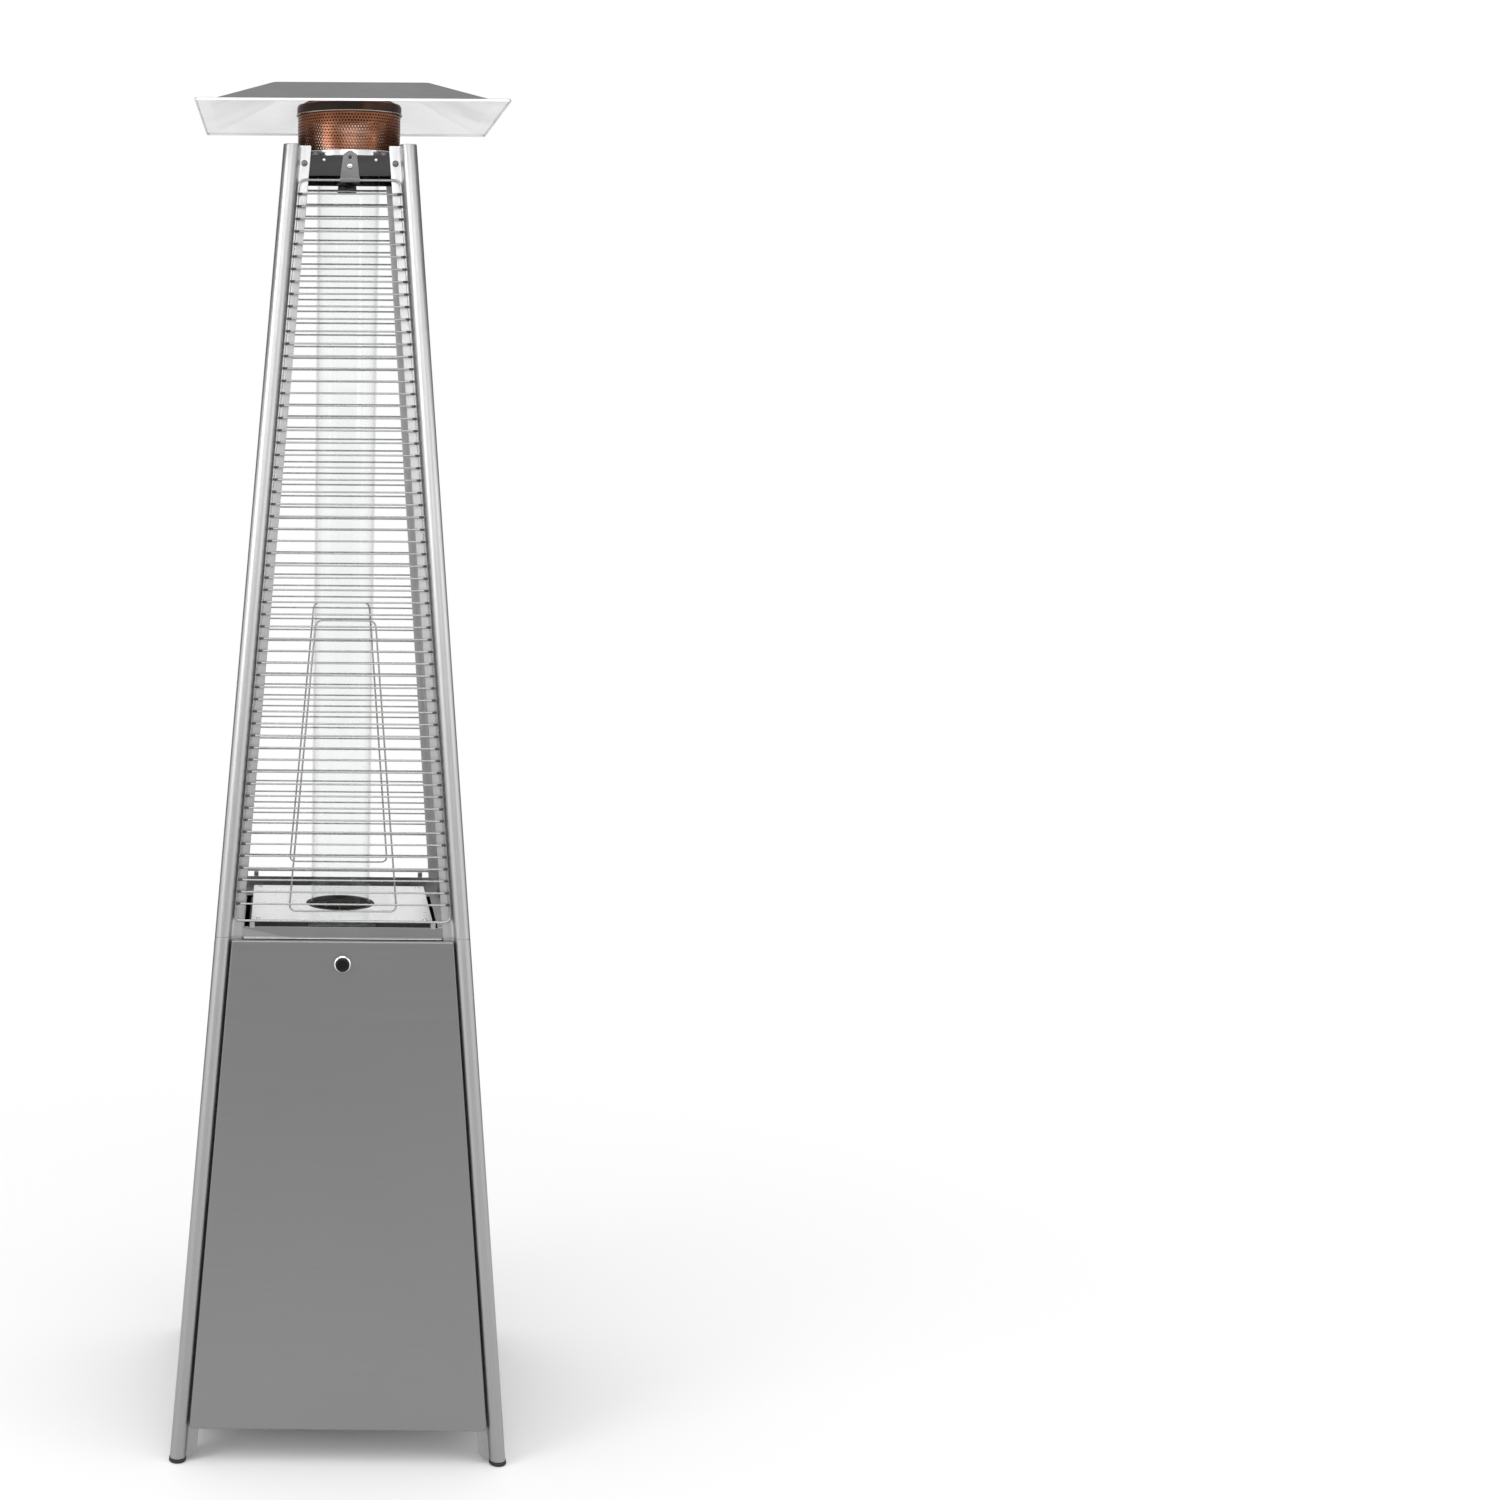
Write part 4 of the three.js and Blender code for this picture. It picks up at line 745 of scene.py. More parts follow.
def clear_glass():
    """Clear tube glass: straight through where it is faced, and a mirror towards its edges."""
    surface = Surface("clear_glass", (0.88, 0.9, 0.89), 1.0, 0.02)
    smears = surface.noise(9, 4, 0.55, (1, 1, 0.25))
    surface.drive("Roughness", surface.spread(smears, 0.5, 0.8, 0.02, 0.12))
    surface.stain(smears, 0.45, 0.8, 0.5, (0.8, 0.83, 0.82))
    surface.relief(smears, 0.2, 0.05)
    mirror = surface.node("LayerWeight", {"Blend": 0.27}, "Fresnel")
    shadow = surface.node("LightPath", {}, "Is Shadow Ray")
    inside = surface.node("NewGeometry", {}, "Backfacing")
    outside = surface.spread(surface.plus(shadow, inside), 0, 1, 1, 0)
    clear = surface.node("BsdfTransparent", {"Color": (0.98, 0.986, 0.983, 1)}, "BSDF")
    surface.mix_with(surface.times(mirror, outside), clear, surface.shader.outputs["BSDF"])
    return surface.material


def reflector_aluminium():
    """Anodised sheet, bright below, with painted shade above: faces that look up are tinted dark grey."""
    surface = Surface("reflector_sheet", grey(0.97), 0.85)
    grain = surface.noise(700, 3, 0.6, (0.02, 1, 1))
    clouds = surface.noise(7, 4, 0.55)
    # Painted shade: the upper faces are tinted dark grey.
    surface.tint(surface.facing_up(), grey(0.105))
    surface.stain(grain, 0.45, 0.8, 0.1, grey(0.4))
    surface.stain(clouds, 0.5, 0.8, 0.1, grey(0.3))
    surface.gloss(clouds, 0.38, 0.52)
    surface.relief(grain, 0.03, 0.5)
    surface.relief(clouds, 0.5, 0.2)
    return surface.material


# The legs' steel comes in copies: fin_steel is painted a little lighter than the tube, and leg, fin and seam
# steel all carry painted shade towards the floor.
leg_steel = brushed("leg_steel", 0.61, ALONG_LEG, 0.36, 0.48, 0.92, dust_and_shade=0.75)
fin_steel = brushed("fin_steel", 0.66, ALONG_LEG, 0.36, 0.48, 0.92, dust_and_shade=0.9, painted_shade_top=2.1)
panel_steel = brushed("panel_steel", 0.28, ALONG_X, 0.36, 0.44, 0.92, 0.02)
side_panel_steel = brushed("side_panel_steel", 0.28, ALONG_Y, 0.36, 0.44, 0.92, 0.02)
base_steel = brushed("base_steel", 0.42, ALL_ROUND, 0.26, 0.4, 0.88)
shelf_steel = shelf_sheet_lit_by_side()
head_steel = brushed("head_steel", 0.048, ALL_ROUND, 0.28, 0.42, 0.6)
deck_steel = plated("deck_steel", (0.88, 0.88, 0.88), 0.26, 0.36, 0.92, 0.6)
screw_steel = plated("screw_steel", (0.2, 0.2, 0.205), 0.14, 0.26)
clip_steel = plated("clip_steel", (0.14, 0.14, 0.143), 0.14, 0.28)
bright_steel = plated("bright_steel", (0.78, 0.78, 0.79), 0.1, 0.26)
wire_steel = plated("wire_steel", (0.42, 0.42, 0.415), 0.18, 0.34)
seam_steel = brushed("seam_steel", 0.66, ALONG_LEG, 0.45, 0.58, 0.94, dust_and_shade=0.85)
# Painted shade: near-black wire ends that stand for the wires' shadows on the fins as well as weld tint.
weld_tint_and_shade = scorched("weld_tint_and_shade", (0.045, 0.043, 0.042), (0.1, 0.08, 0.06))
reflector_sheet = reflector_aluminium()
burner_steel = scorched("burner_steel", (0.05, 0.045, 0.042), (0.09, 0.055, 0.035))
hood_steel = scorched("hood_steel", (0.036, 0.025, 0.021), (0.14, 0.07, 0.042))
dark_plate = coated("dark_plate", (0.04, 0.041, 0.043), 0.3, 0.4, 0.55)
bead_steel = plated("bead_steel", (0.5, 0.4, 0.33), 0.2, 0.32, 0.7)
brass = plated("brass", (0.62, 0.44, 0.17), 0.22, 0.4, 0.7)
pipe_metal = plated("pipe_metal", (0.62, 0.63, 0.64), 0.28, 0.45)
ceramic = coated("ceramic", (0.78, 0.75, 0.68), 0.0, 0.12, 0.3, 300, 0.02)
black_plastic = coated("black_plastic", (0.006, 0.006, 0.007), 0.0, 0.32, 0.5, 900, 0.03, 0.2)
black_rubber = coated("black_rubber", (0.018, 0.018, 0.019), 0.0, 0.6, 0.85, 400, 0.08)
copper_screen = copper_sheet()
glass = clear_glass()


# Legs
def fin_strip(low, high, chamfer, bends):
    """A flat fin beside the tube. Where it bends, its free edge falls back from the face."""
    root = LEG_INSIDE + FIN_ROOT
    edge = BASE_WIDTH / 2 - FIN_REACH
    fold = BASE_WIDTH / 2 - FIN_BEND
    levels = [(low, chamfer, 0), (low + chamfer, 0, 0)]
    if bends:
        levels += [(low + FIN_LOW_BEND[0], 0, 0), (low + FIN_LOW_BEND[1], 0, FIN_FALL)]
        levels += [(high - FIN_HIGH_BEND[0], 0, FIN_FALL), (high - FIN_HIGH_BEND[1], 0, 0)]
    levels += [(high - FIN_TOP_CUT, 0, 0), (high, FIN_TOP_CUT, 0)]
    rings = []
    for z, cut, fall in levels:
        tip = min(edge + cut, fold - FIN_LEAST)
        drop = FIN_FACE - fall * (fold - tip) / (fold - edge)
        section = [(tip, drop), (fold, FIN_FACE), (root, FIN_FACE), (root, FIN_FACE - FIN_WALL)]
        section += [(fold, FIN_FACE - FIN_WALL), (tip, drop - FIN_WALL)]
        rings.append([(x, y, z) for x, y in rounded(section, FIN_EDGE)])
    return ringed(rings, closed=False, capped=True)


def fin_fillet(low, high):
    """The rounded inside corner between the tube and the fin's outer face."""
    start = (LEG_INSIDE - SEAM_REACH, FIN_FACE - SEAM_SINK)
    middle = (LEG_INSIDE + SEAM_SINK, FIN_FACE + SEAM_SINK)
    end = (LEG_CENTRE - math.sqrt(LEG_RADIUS ** 2 - SEAM_CLIMB ** 2), LEG_CENTRE + SEAM_CLIMB)
    root = (LEG_INSIDE + SEAM_ROOT[0], FIN_FACE - SEAM_ROOT[1])
    section = bend(start, middle, end) + [root]
    return ringed([[(x, y, z) for x, y in section] for z in (low, high)], closed=False, capped=True)


def both_sides(form):
    """A form with its image on the other side of the corner's diagonal."""
    return joined(form, mapped(form, lambda p: Vector((p.y, p.x, p.z))))


def leg_tube(low, high):
    return moved(tube(LEG_RADIUS, LEG_WALL, low, high, LEG_EDGE, 40), LEG_CENTRE, LEG_CENTRE)


def spigot_form():
    spigot = tube(PLUG_RADIUS, SPIGOT_WALL, SEAM - SPIGOT_REACH, SEAM + SPIGOT_REACH, SPIGOT_EDGE, 32)
    return moved(spigot, LEG_CENTRE, LEG_CENTRE)


def foot_form():
    """A cap with a grooved rim and the plug that goes up into the leg."""
    rim, top = FOOT_RIM, FOOT_HEIGHT + FOOT_PLUG
    section = [(0, 0), (rim - 2, 0), (rim, 2), (rim, 3.4), (rim - 0.6, 3.8), (rim, 4.2), (rim, FOOT_HEIGHT)]
    section += [(PLUG_RADIUS, FOOT_HEIGHT), (PLUG_RADIUS, top - 1), (PLUG_RADIUS - 1, top), (0, top)]
    return moved(lathe(section, 40), LEG_CENTRE, LEG_CENTRE)


leg_foot = FOOT_HEIGHT + GAP
fin_top = LEG_TOP - FIN_TOP_DROP
low_weld = fin_fillet(FOOT_HEIGHT + SEAM_FOOT, SEAM - SEAM_BREAK)
high_weld = fin_fillet(SEAM + SEAM_BREAK, fin_top - SEAM_HEAD)
low_fin = fin_strip(leg_foot, SEAM, FIN_CHAMFER, False)
high_fin = fin_strip(SEAM + GAP, fin_top, 0, True)
low_tube = joined(leg_tube(leg_foot, SEAM), spigot_form())
LEG_PARTS = (
    ("leg_weld", both_sides(joined(low_weld, high_weld)), "brushed_steel", seam_steel, ""),
    ("lower_fins", both_sides(low_fin), "brushed_steel", fin_steel, ""),
    ("upper_fins", both_sides(high_fin), "brushed_steel", fin_steel, ""),
    ("lower_tube", low_tube, "brushed_steel", leg_steel, "lower_leg"),
    ("upper_tube", leg_tube(SEAM + GAP, LEG_TOP), "brushed_steel", leg_steel, "upper_leg"),
    ("rubber_foot", foot_form(), "black_rubber", black_rubber, "foot_cap"),
)
for turn, corner in enumerate(CORNERS):
    for name, form, slot, material, node in LEG_PARTS:
        replaced = [f"{node}_{corner}"] if node else []
        add_piece(f"{name}_{corner}", quarter(leaned_corner(form), turn), material, replaced)


def on_face(form, x, z, setback):
    """A form drawn at the origin, put on the front at a height."""
    return moved(form, x, setback - half_at(z), z)


ear_screws = []
for x in both_ways(EAR_SCREW_REACH):
    ear_screws.append(on_face(screw(*EAR_SCREW), x, EAR_SCREW_HEIGHT, FIN_SETBACK))
for turn, face in enumerate(FACES):
    add_piece(f"ear_screws_{face}", quarter(joined(*ear_screws), turn), screw_steel)


# Door and panels
def panel_loop(inset):
    """The panel's outline, drawn in by an inset, with round lower corners."""
    low = PANEL_BOTTOM + inset
    high = PANEL_TOP - inset
    side = PANEL_EDGE + inset * math.hypot(1, LEAN)
    foot = half_at(low) - side
    head = half_at(high) - side
    lower = max(PANEL_FOOT_CORNER - inset, 0.6)
    upper = max(PANEL_HEAD_CORNER - inset, 0.3)
    right = bend((foot - lower, low), (foot, low), (foot - LEAN * lower, low + lower))
    right += bend((head + LEAN * upper, high - upper), (head, high), (head - upper, high))
    return [(x, z) for x, z in right] + [(-x, z) for x, z in reversed(right)]


def fold_curve(radius):
    """A quarter bend of the sheet, from its face to its edge: inset and depth."""
    curve = []
    for k in range(5):
        angle = math.pi / 8 * k
        curve.append((FOLD_RADIUS - radius * math.sin(angle), FOLD_RADIUS - radius * math.cos(angle)))
    return curve


def tray_form(depth):
    """A folded tray: the outer face, the bend, the edge, and the same again inside."""
    profile = fold_curve(FOLD_RADIUS)
    profile += [(0, depth - RIM_EDGE), (RIM_EDGE, depth)]
    profile += [(PANEL_WALL - RIM_EDGE, depth), (PANEL_WALL, depth - RIM_EDGE)]
    profile += reversed(fold_curve(FOLD_RADIUS - PANEL_WALL))
    rings = [[(x, PANEL_SETBACK + y, z) for x, z in panel_loop(inset)] for inset, y in profile]
    return ringed(rings, closed=False, capped=True)


def hinge_lugs():
    """Two eyes round the hinge pins, each with a tab up to the door."""
    lugs = []
    for x in both_ways(HINGE_X):
        low = x + LUG_START
        high = low + LUG_WALL
        tab = block((low, high), (LUG_FRONT, HINGE_SETBACK), (HINGE_Z, HINGE_Z + LUG_CLIMB), 0.2)
        eye = rounded([(LUG_BORE, low), (LUG_RADIUS, low), (LUG_RADIUS, high), (LUG_BORE, high)], 0.3)
        lugs += [leaned_face(tab), on_face(lathe_x(eye, 24), 0, HINGE_Z, HINGE_SETBACK)]
    return joined(*lugs)


door = joined(leaned_face(tray_form(DOOR_DEPTH)), hinge_lugs())
add_piece("door_sheet", door, panel_steel, ["front_door"], 28, "front_door")

panel = leaned_face(tray_form(PANEL_DEPTH))
panel_screws = []
for z in (PANEL_BOTTOM + PANEL_SCREW_INSET, PANEL_TOP - PANEL_SCREW_INSET):
    for x in both_ways(half_at(z) - PANEL_EDGE - PANEL_SCREW_INSET):
        panel_screws.append(on_face(screw(*PANEL_SCREW), x, z, PANEL_SETBACK))
for turn, face in enumerate(FACES[1:], 1):
    steel = panel_steel if face == "rear" else side_panel_steel
    add_piece(f"{face}_sheet", quarter(panel, turn), steel, [f"{face}_panel"], 28)
    add_bright(f"{face}_panel_screws", quarter(joined(*panel_screws), turn))


# Door latch, drawn along Y with the door's face at zero
def on_latch(profile):
    return on_face(turned(lathe_y(profile), -LEAN_ANGLE, "X"), 0, LATCH_Z, PANEL_SETBACK)


bezel = rounded([(4.3, -2.8), (12, -2.8), (14, -1.2), (14, -0.3), (9, -0.3), (9, 21), (4.3, 21)], 0.6)
knob = [(0, -11.6), (6.4, -11.6), (7.4, -12.8), (9.6, -13.1), (11.5, -11.4), (11.5, -8.4), (10.7, -7.7)]
knob += [(10.7, -5.2), (11.5, -4.6), (11.5, -3.3), (4, -3.3), (4, 27.2), (0, 27.2)]
add_bright("latch_rosette", on_latch(bezel), ["latch_bezel"], "front_door")
add_piece("door_turn_knob", on_latch(knob), black_plastic, ["door_knob"], body="door_latch")
softened("latch_tongue", "latch_cam", bright_steel, 0.5, body="door_latch")


# Wire guards
def guard_half(z):
    return half_at(z) - GUARD_SIDE


def round_loop(low, high, foot, head):
    """A wire loop with round corners, wider at its foot."""
    slope = (foot - head) / (high - low)
    y, corner = FRAME_SETBACK, GUARD_CORNER
    right = bend((foot - corner, y, low), (foot, y, low), (foot - slope * corner, y, low + corner))
    right += bend((head + slope * corner, y, high - corner), (head, y, high), (head - corner, y, high))
    return right + [(-x, y, z) for x, y, z in reversed(right)]


def guard_form():
    outer = round_loop(GUARD_BOTTOM, GUARD_TOP, guard_half(GUARD_BOTTOM), guard_half(GUARD_TOP))
    inner = round_loop(LOOP_BOTTOM, LOOP_TOP, LOOP_BOTTOM_HALF, LOOP_TOP_HALF)
    wires = [swept(outer, GUARD_WIRE, 12, True), swept(inner, CROSS_WIRE, 10, True)]
    for z in CROSS_HEIGHTS:
        reach = guard_half(z) + CROSS_OVERHANG
        path = [(x * reach, CROSS_SETBACK, z) for x in (-1, -0.999, 0.999, 1)]
        wires.append(swept(path, CROSS_WIRE, 10))
    return leaned_face(joined(*wires))


def weld_and_shade_form():
    """The darkened ends of the cross wires, where they are welded to the guard's side wires: weld tint, and
    painted shade for the wires' shadows on the fins.
    """
    shape = [(1.45, -4.2), (1.75, -3.4), (1.8, 0), (1.75, 3.4), (1.45, 4.2)]
    spots = []
    for z in CROSS_HEIGHTS:
        for x in both_ways(half_at(z) - CROSS_WELD):
            spots.append(moved(lathe_x(shape, 10, False), x, CROSS_SETBACK, z))
    return leaned_face(joined(*spots))


def clip_form():
    """A pointed strap with a hole, and the hook at its foot over the guard's top wire."""
    low = GUARD_TOP + GUARD_WIRE + GAP
    top = HEAD_TOP + CLIP_RISE
    back = -HEAD_HALF - GAP
    front = FRAME_SETBACK - half_at(GUARD_TOP) - GUARD_WIRE - GAP - CLIP_WALL
    width = both_ways(CLIP_FOOT_HALF)
    outline = [(-CLIP_FOOT_HALF, low), (CLIP_FOOT_HALF, low), (CLIP_HEAD_HALF, top - CLIP_TIP)]
    outline += [(CLIP_TIP_HALF, top), (-CLIP_TIP_HALF, top), (-CLIP_HEAD_HALF, top - CLIP_TIP)]
    strap = plate(outline, [circle(0, top - CLIP_HOLE_DROP, CLIP_HOLE)], CLIP_WALL, 0.3)
    step = block(width, (front + 0.2, back - 0.2), (low, low + CLIP_WALL), 0.3)
    lip = block(width, (front, front + CLIP_WALL), (low - CLIP_HOOK, low + CLIP_WALL), 0.5)
    return joined(moved(strap, 0, back - CLIP_WALL), step, lip)


guard, cross_ends, clip = guard_form(), weld_and_shade_form(), clip_form()
clip_screw = moved(screw(*CLIP_SCREW), 0, -HEAD_HALF - GAP - CLIP_WALL, CLIP_SCREW_Z)
for turn, face in enumerate(FACES):
    add_piece(f"wire_guard_{face}", quarter(guard, turn), wire_steel, [f"guard_{face}"], 60)
    add_piece(f"wire_end_welds_and_shade_{face}", quarter(cross_ends, turn), weld_tint_and_shade)
    add_piece(f"strap_clip_{face}", quarter(clip, turn), clip_steel, [f"guard_clip_{face}"])
    add_bright(f"clip_screw_{face}", quarter(clip_screw, turn))

# Glass tube, its rings and the head
flame_tube = tube(GLASS_RADIUS, GLASS_WALL, GLASS_BOTTOM, GLASS_TOP, GLASS_EDGE, 96, 4)
add_piece("flame_tube", flame_tube, glass, ["glass_tube"], 50)

seal_rim = DECK_HOLE - GAP
seal = [(BOWL_BORE, BOWL_SEAT + GAP), (seal_rim, BOWL_SEAT + GAP), (seal_rim, DECK_TOP + 0.5)]
seal += [(TUBE_ROOM, DECK_TOP + 0.5), (TUBE_ROOM, GLASS_BOTTOM - GAP), (BOWL_BORE, GLASS_BOTTOM - GAP)]
add_piece("tube_seal", lathe(rounded(seal, 0.7), 72), black_rubber, ["lower_tube_seal"])

seat = HEAD_TOP + GAP
ring = [(TUBE_ROOM, seat - 18), (55.8, seat - 18), (55.8, seat)]
ring += [(64, seat), (64, seat + 1.7), (TUBE_ROOM, seat + 1.7)]
add_bright("tube_ring", lathe(rounded(ring, 0.5), 72), ["upper_tube_ring"])
band = [(67, seat), (84.6, seat), (85.5, seat + 0.9), (85.5, seat + 9.1), (84.9, seat + 10)]
band += [(83.6, seat + 10), (83, seat + 9.3), (83, seat + 2.3), (82.2, seat + 1.5), (67, seat + 1.5)]
add_bright("screen_band", lathe(band, 96), ["screen_base_ring"])
softened("head_tray", "head_plate", head_steel, 0.4)
rivets = []
for turn in range(4):
    for x in both_ways(HEAD_RIVET_X):
        rivets.append(quarter(moved(screw(*HEAD_RIVET), x, -HEAD_HALF, HEAD_RIVET_Z), turn))
add_bright("head_rivets", joined(*rivets))


def screen_form():
    """A ring of sheet with staggered round holes, cut cell by cell."""
    step = 2 * math.pi / SCREEN_COLUMNS
    rise = (SCREEN_HIGH - SCREEN_LOW) / SCREEN_ROWS
    hole = SCREEN_HOLE_SHARE * rise
    outside, inside = SCREEN_RADIUS, SCREEN_RADIUS - SCREEN_WALL
    rim, cell = [], []
    for turn in around(8):
        rim.append((hole * math.cos(turn) / SCREEN_RADIUS, hole * math.sin(turn)))
        cell.append((step / 2 * round(math.cos(turn) * 1.2), rise / 2 * round(math.sin(turn) * 1.2)))
    walls = []
    for row in range(SCREEN_ROWS):
        middle = SCREEN_LOW + (row + 0.5) * rise
        for column in range(SCREEN_COLUMNS):
            angle = (column + 0.5 * (row % 2)) * step
            rings = []
            for radius, outline in ((outside, cell), (outside, rim), (inside, rim), (inside, cell)):
                rings.append([polar(radius, angle + across, middle + up) for across, up in outline])
            walls.append(ringed(rings, closed=False))
    for z in (SCREEN_LOW, SCREEN_HIGH):
        edges = [round_ring(radius, z, SCREEN_COLUMNS * 2) for radius in (outside, inside)]
        walls.append(ringed(edges, closed=False))
    return joined(*walls)


add_piece("perforated_screen", screen_form(), copper_screen, ["flame_screen"], 50)


def stud_form():
    """Three threaded studs, each on a round boss."""
    section = [(0, -0.6), (6, -0.6), (6, 5.6), (5.6, 6), (STUD_RADIUS, 6)]
    tip = REFLECTOR_TOP - HOOD_TOP
    for k in range(9):
        section += [(STUD_CORE, tip + k - 0.25), (STUD_RADIUS, tip + k + 0.25)]
    section += [(STUD_RADIUS, tip + 7.9), (STUD_RADIUS - 0.4, tip + 8.3), (0, tip + 8.3)]
    stud = moved(lathe(section, 20), 0, STUD_CIRCLE, HOOD_TOP)
    return joined(*[turned(stud, angle) for angle in around(3)])


# The hood's outside from the skirt to the middle and its inside back again: radius, and drop from the top
HOOD_PROFILE = (
    (84.8, 33), (86, 33.2), (87, 32.2), (87, 30.8), (86.1, 29.8), (86, 28), (86, 20), (85.5, 18.2),
    (84, 16.6), (70, 9.6), (56, 2.6), (52, 0.8), (48, 0), (0, 0), (0, 1.2), (48, 1.2), (51.6, 2),
    (69.4, 10.8), (83.2, 17.7), (84.8, 20),
)
hood = lathe([(radius, HOOD_TOP - drop) for radius, drop in HOOD_PROFILE], 96)
add_piece("hood_cap", joined(hood, stud_form()), hood_steel, ["screen_hood"])
bead = circle(BEAD_CIRCLE, HOOD_BOTTOM + 1.5, BEAD_RADIUS, 10)
add_piece("hood_bead", lathe(bead, 96), bead_steel)


def reflector_form():
    """A flat middle, four slopes and a flat rim with a hem, then the underside back to the middle."""
    top, low = REFLECTOR_TOP, REFLECTOR_TOP - REFLECTOR_DROP
    hem, rim = low - REFLECTOR_HEM, REFLECTOR_HALF
    slope = REFLECTOR_DROP / (REFLECTOR_FOLD - REFLECTOR_FLAT)
    upper = [(1, top), (60, top), (REFLECTOR_FLAT - 5, top), (REFLECTOR_FLAT - 2, top - 0.25)]
    upper += [(REFLECTOR_FLAT + 3, top - 3 * slope), (REFLECTOR_FOLD - 3, low + 3 * slope)]
    upper += [(REFLECTOR_FOLD + 1, low + 0.35), (REFLECTOR_FOLD + 4, low)]
    edge = [(rim - 2, low), (rim - 0.6, low - 0.6), (rim, low - 2), (rim, hem + 0.4)]
    edge += [(rim - 0.6, hem), (rim - 1.2, hem + 0.4), (rim - 2.7, low - REFLECTOR_WALL)]
    under = [(half, z - REFLECTOR_WALL) for half, z in reversed(upper)]
    rings = []
    for half, z in upper + edge + under:
        corner = REFLECTOR_CORNER if half > REFLECTOR_FOLD - 5 else max(0.4, half * 0.02)
        rings.append([(x, y, z) for x, y in round_rectangle(half, half, corner)])
    return ringed(rings, closed=False, capped=True)


add_piece("reflector_sheet", reflector_form(), reflector_sheet, ["reflector"], 25)


def nut_form():
    """A hexagon nut with turned-off corners and a thread hole."""
    rings = []
    levels = ((0, 3.2, 0), (1, 5.4, 0), (1, 6, 0.5), (1, 6, 5.5), (1, 5.4, 6), (0, 3.2, 6))
    for hexagonal, radius, z in levels:
        ring = []
        for angle in around(24):
            across = math.cos(math.pi / 6) / math.cos((angle % (math.pi / 3)) - math.pi / 6)
            ring.append(polar(radius * across if hexagonal else radius, angle, z))
        rings.append(ring)
    return ringed(rings)


for number, angle in enumerate(around(3), 1):
    nut = moved(nut_form(), *polar(STUD_CIRCLE, angle + math.pi / 2, REFLECTOR_TOP + GAP))
    add_bright(f"stud_nut_{number}", nut, [f"reflector_nut_{number}"])

# Burner deck, the turned lips, and the bowl
deck_outline = round_rectangle(DECK_HALF_X, DECK_HALF_Y, DECK_CORNER)
deck = laid_flat(plate(deck_outline, [circle(0, 0, DECK_HOLE, 96)], DECK_WALL, 0.3), DECK_TOP)
add_piece("deck_sheet", deck, deck_steel, ["burner_deck"], 30)
depth, rise = (-DECK_HALF_Y, 1.2 - DECK_HALF_Y), (DECK_TOP - 9, DECK_TOP - 1.6)
add_bright("deck_lip", block(both_ways(DECK_LIP_HALF), depth, rise, 0.4))
depth, rise = (-SHELF_LIP_FRONT, 0.2 - SHELF_HALF), (PANEL_TOP + 0.9, PANEL_TOP + 2.3)
shelf_lip = block(both_ways(SHELF_LIP_HALF), depth, rise, 0.4)
add_piece("shelf_lip", shelf_lip, bright_steel)
deck_screws = []
for x in both_ways(DECK_HALF_X - DECK_SCREW_INSET):
    for y in both_ways(DECK_HALF_Y - DECK_SCREW_INSET):
        deck_screws.append(moved(turned(screw(*DECK_SCREW), -math.pi / 2, "X"), x, y, DECK_TOP))
add_bright("deck_screws", joined(*deck_screws))

bowl_out, neck_out = BOWL_BORE + BOWL_WALL, DECK_HOLE + BOWL_WALL
bowl = rounded([
    (BOWL_HOLE, BOWL_FLOOR - BOWL_WALL), (bowl_out, BOWL_FLOOR - BOWL_WALL),
    (bowl_out, BOWL_SEAT - BOWL_WALL), (neck_out, BOWL_SEAT - BOWL_WALL),
    (neck_out, BOWL_TOP - BOWL_WALL), (BOWL_RIM, BOWL_TOP - BOWL_WALL),
    (BOWL_RIM, BOWL_TOP), (DECK_HOLE, BOWL_TOP), (DECK_HOLE, BOWL_SEAT),
    (BOWL_BORE, BOWL_SEAT), (BOWL_BORE, BOWL_FLOOR), (BOWL_HOLE, BOWL_FLOOR),
], 0.8)
add_piece("burner_pan", lathe(bowl, 72), burner_steel, ["burner_bowl"])


def cap_form():
    """The burner's cap with its ring of flame holes."""
    low, rim = BOWL_FLOOR + GAP, CAP_RADIUS
    high, bore = low + CAP_HEIGHT, rim - CAP_WALL
    wall = [(bore, low), (rim, low), (rim, high - 2), (rim - 0.6, high - 0.6), (rim - 2, high - 0.05)]
    wall.append((bore, high - 2))
    centres = [(0, 0)] + circle(0, 0, CAP_HOLE_CIRCLE, CAP_HOLE_COUNT)
    holes = [circle(x, z, CAP_HOLE, 20) for x, z in centres]
    top = plate(circle(0, 0, rim - 1.6, 64), holes, CAP_WALL, 0.25)
    return joined(lathe(wall), laid_flat(top, high))


def probe_form(ridges):
    """A rod through the bowl's floor, with a collar, ridges and a thin tip."""
    outline = [(0, -15.3), (2.6, -15.3), (3, -14.8), (3, 0), (4.5, 0), (4.5, 4), (3, 4)]
    for k in range(ridges):
        z = 7 + 3.4 * k
        outline += [(3, z), (2.3, z + 0.5), (2.3, z + 1.1), (3, z + 1.6)]
    outline += [(3, 26), (2.4, 26.7), (1.2, 26.7), (1.2, 36.2), (0.8, 36.7), (0, 36.7)]
    return moved(lathe(outline, 28), PROBE_X, 0, BOWL_FLOOR + GAP)


add_piece("burner_head", cap_form(), burner_steel, ["burner_cap"])
add_piece("spark_electrode", probe_form(4), ceramic, ["igniter_electrode"])
add_piece("flame_probe", quarter(probe_form(1), 1), brass, ["thermocouple"])
slot = block((0, SLOT_WIDTH), both_ways(SLOT_HALF_LENGTH), (SHELF_FLOOR - 4, SHELF_FLOOR + 4), 0)
slots = [moved(slot, low) for low in (-SLOT_REACH - SLOT_WIDTH, SLOT_REACH)]
softened("shelf_tray", "burner_shelf", shelf_steel, 0.35, slots)
softened("gas_box", "burner_box", dark_plate, 0.3)
softened("jet", "burner_nozzle", brass, 0.3)
softened("inlet_fitting", "gas_inlet", brass, 0.4)
softened("valve_block", "gas_valve", pipe_metal, 1.2)


